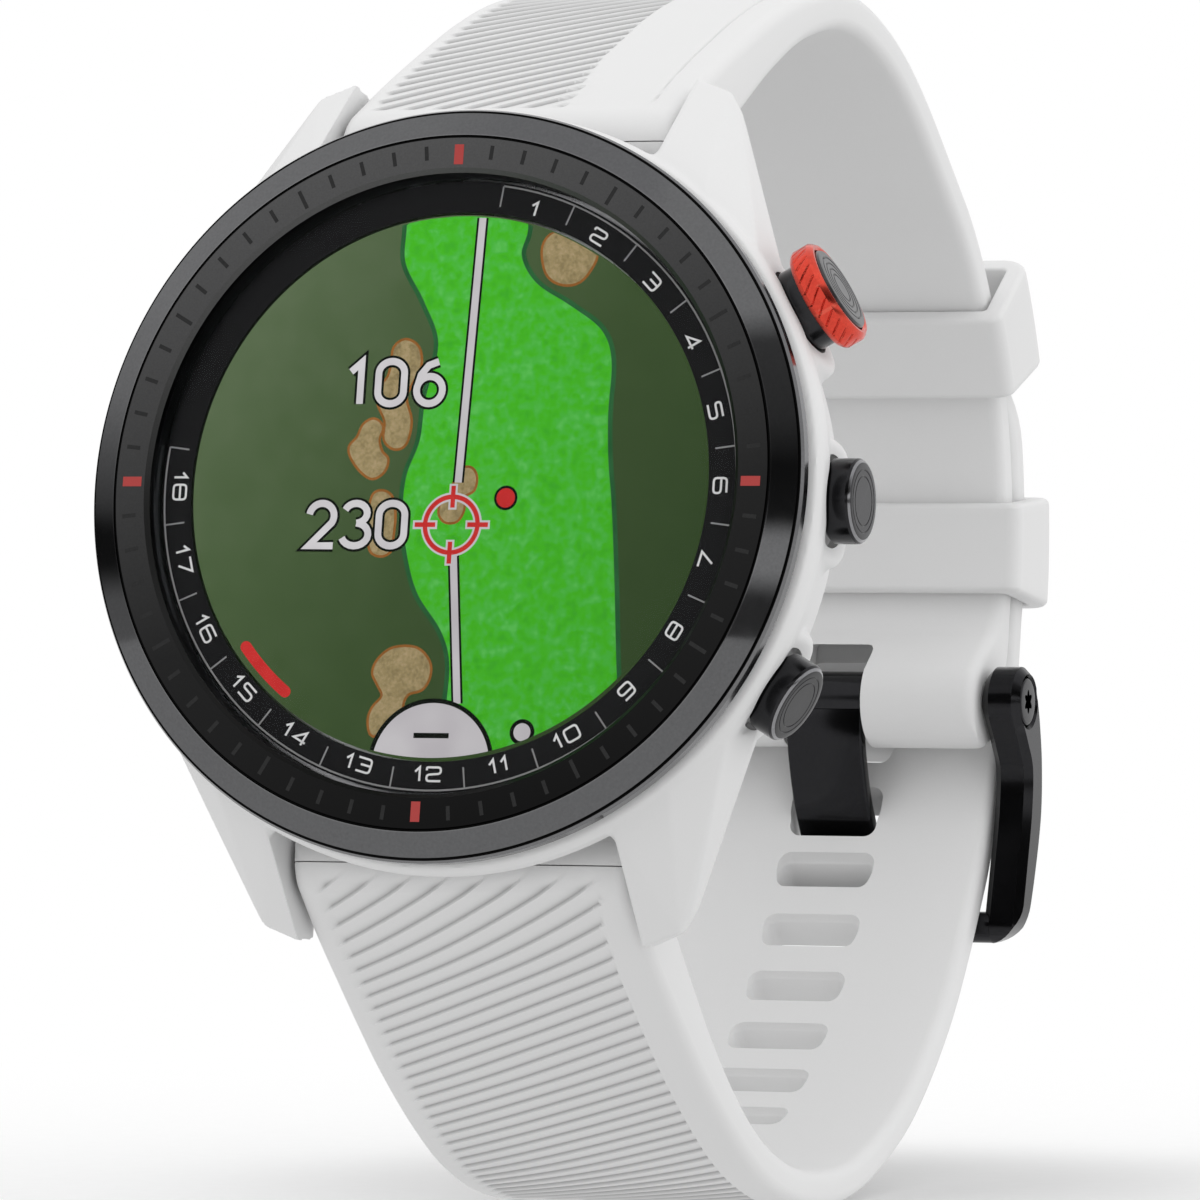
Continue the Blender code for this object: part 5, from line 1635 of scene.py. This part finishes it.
floor_paper()
floor_mesh.materials.append(MATERIALS["floor_paper"])

# ================================================================ world
# (degrees above the horizon, brightness) of what polished parts mirror to the left and right
# of the watch, and of the soft light on everything else
LEFT_ROOM = [(-90, 1.0), (-16, 1.0), (-9, 0.75), (-4, 0.45), (1.5, 0.42), (4, 0.03), (8, 0.03),
             (10, 0.22), (14, 0.4), (20, 0.8), (30, 1.0), (90, 0.9)]
RIGHT_ROOM = [(-90, 0.85), (-33, 0.85), (-27, 0.5), (-17, 0.5), (-12, 0.38), (-8, 0.15),
              (3, 0.12), (6, 1.0), (11, 1.0), (13, 0.04), (21, 0.03), (27, 0.14), (38, 0.2),
              (42, 0.95), (90, 1.0)]
SOFT_LIGHT = [(-90, 0.66), (-20, 0.82), (0, 1.0), (25, 1.02), (60, 0.95), (90, 0.92)]


def studio_world():
    """A bright room with dark flags on both sides; plain white to the camera."""
    world = bpy.data.worlds.new("studio")
    scene.world = world
    world.use_nodes = True
    graph = Graph(world.node_tree)
    graph.tree.nodes.clear()
    way = graph.node("TexCoord").outputs["Generated"]
    x, y, z = graph.node("SeparateXYZ", {0: way}).outputs
    to_degrees = 180 / math.pi
    height = graph.calc("MULTIPLY", graph.calc("ARCSINE", z), to_degrees)
    level = graph.calc("DIVIDE", graph.calc("ADD", height, 90.0), 180.0)
    # 0 towards -y, rising towards +x
    azimuth = graph.calc("ARCTAN2", x, graph.calc("MULTIPLY", y, -1.0))
    azimuth = graph.calc("MULTIPLY", azimuth, to_degrees)

    def by_height(stops):
        return graph.ramp(level, [((degrees + 90) / 180, value) for degrees, value in stops])

    mirror = graph.mix(graph.gate(azimuth, rise=(-200, -150), fall=(-62, -40)),
                       (0.85, 0.85, 0.86), by_height(LEFT_ROOM))
    mirror = graph.mix(graph.gate(azimuth, rise=(4, 12), fall=(75, 120)), mirror,
                       by_height(RIGHT_ROOM))
    seen = graph.node("LightPath").outputs
    shown = graph.mix(seen["Is Glossy Ray"], by_height(SOFT_LIGHT), mirror)
    shown = graph.mix(seen["Is Camera Ray"], shown, (1.0,) * 3)
    background = graph.node("Background", {"Color": shown, "Strength": 1.0})
    graph.node("OutputWorld", {"Surface": background.outputs[0]})


studio_world()


# ================================================================ lights and camera (metres)
def soft_light(name, location, aim, size, power):
    """A square area light that casts no highlights."""
    data = bpy.data.lights.new(name, "AREA")
    data.shape, data.size, data.size_y = "RECTANGLE", size, size
    data.energy = power
    data.specular_factor = 0.0
    obj = bpy.data.objects.new(name, data)
    scene.collection.objects.link(obj)
    obj.location = Vector(location)
    obj.rotation_mode = "QUATERNION"
    obj.rotation_quaternion = (Vector(aim) - Vector(location)).to_track_quat("-Z", "Y")
    obj.visible_glossy = False
    obj.visible_camera = False


soft_light("key_top", location=(0.15, -0.05, 0.6), aim=(0, 0.02, 0), size=0.5, power=0.35)
soft_light("side_right", location=(0.6, 0.25, 0.15), aim=(0, 0.03, 0), size=0.4, power=0.3)

CAMERA_FROM_FACE = Vector((0.2094705, -0.5114801, -0.0014389))
CAMERA_LOOK = Vector((-0.36238437, 0.93197036, -0.01043184))
CAMERA_TURN = 21.24791  # degrees from x to the camera's right-hand side

camera_data = bpy.data.cameras.new("camera")
camera_data.sensor_width = 36.0
camera_data.lens = 273.449
camera_data.clip_start, camera_data.clip_end = 0.01, 10.0
camera = bpy.data.objects.new("camera", camera_data)
scene.collection.objects.link(camera)
side_way = Vector((*polar(1, CAMERA_TURN), 0.0))
camera_axes = Matrix((side_way, side_way.cross(CAMERA_LOOK), -CAMERA_LOOK)).transposed()
camera.rotation_mode = "QUATERNION"
camera.rotation_quaternion = camera_axes.to_quaternion()
camera.location = face_centre + CAMERA_FROM_FACE
scene.camera = camera

scene.view_settings.view_transform = "Standard"
scene.view_settings.look = "None"
scene.view_settings.exposure = 0.0
scene.view_settings.gamma = 1.0
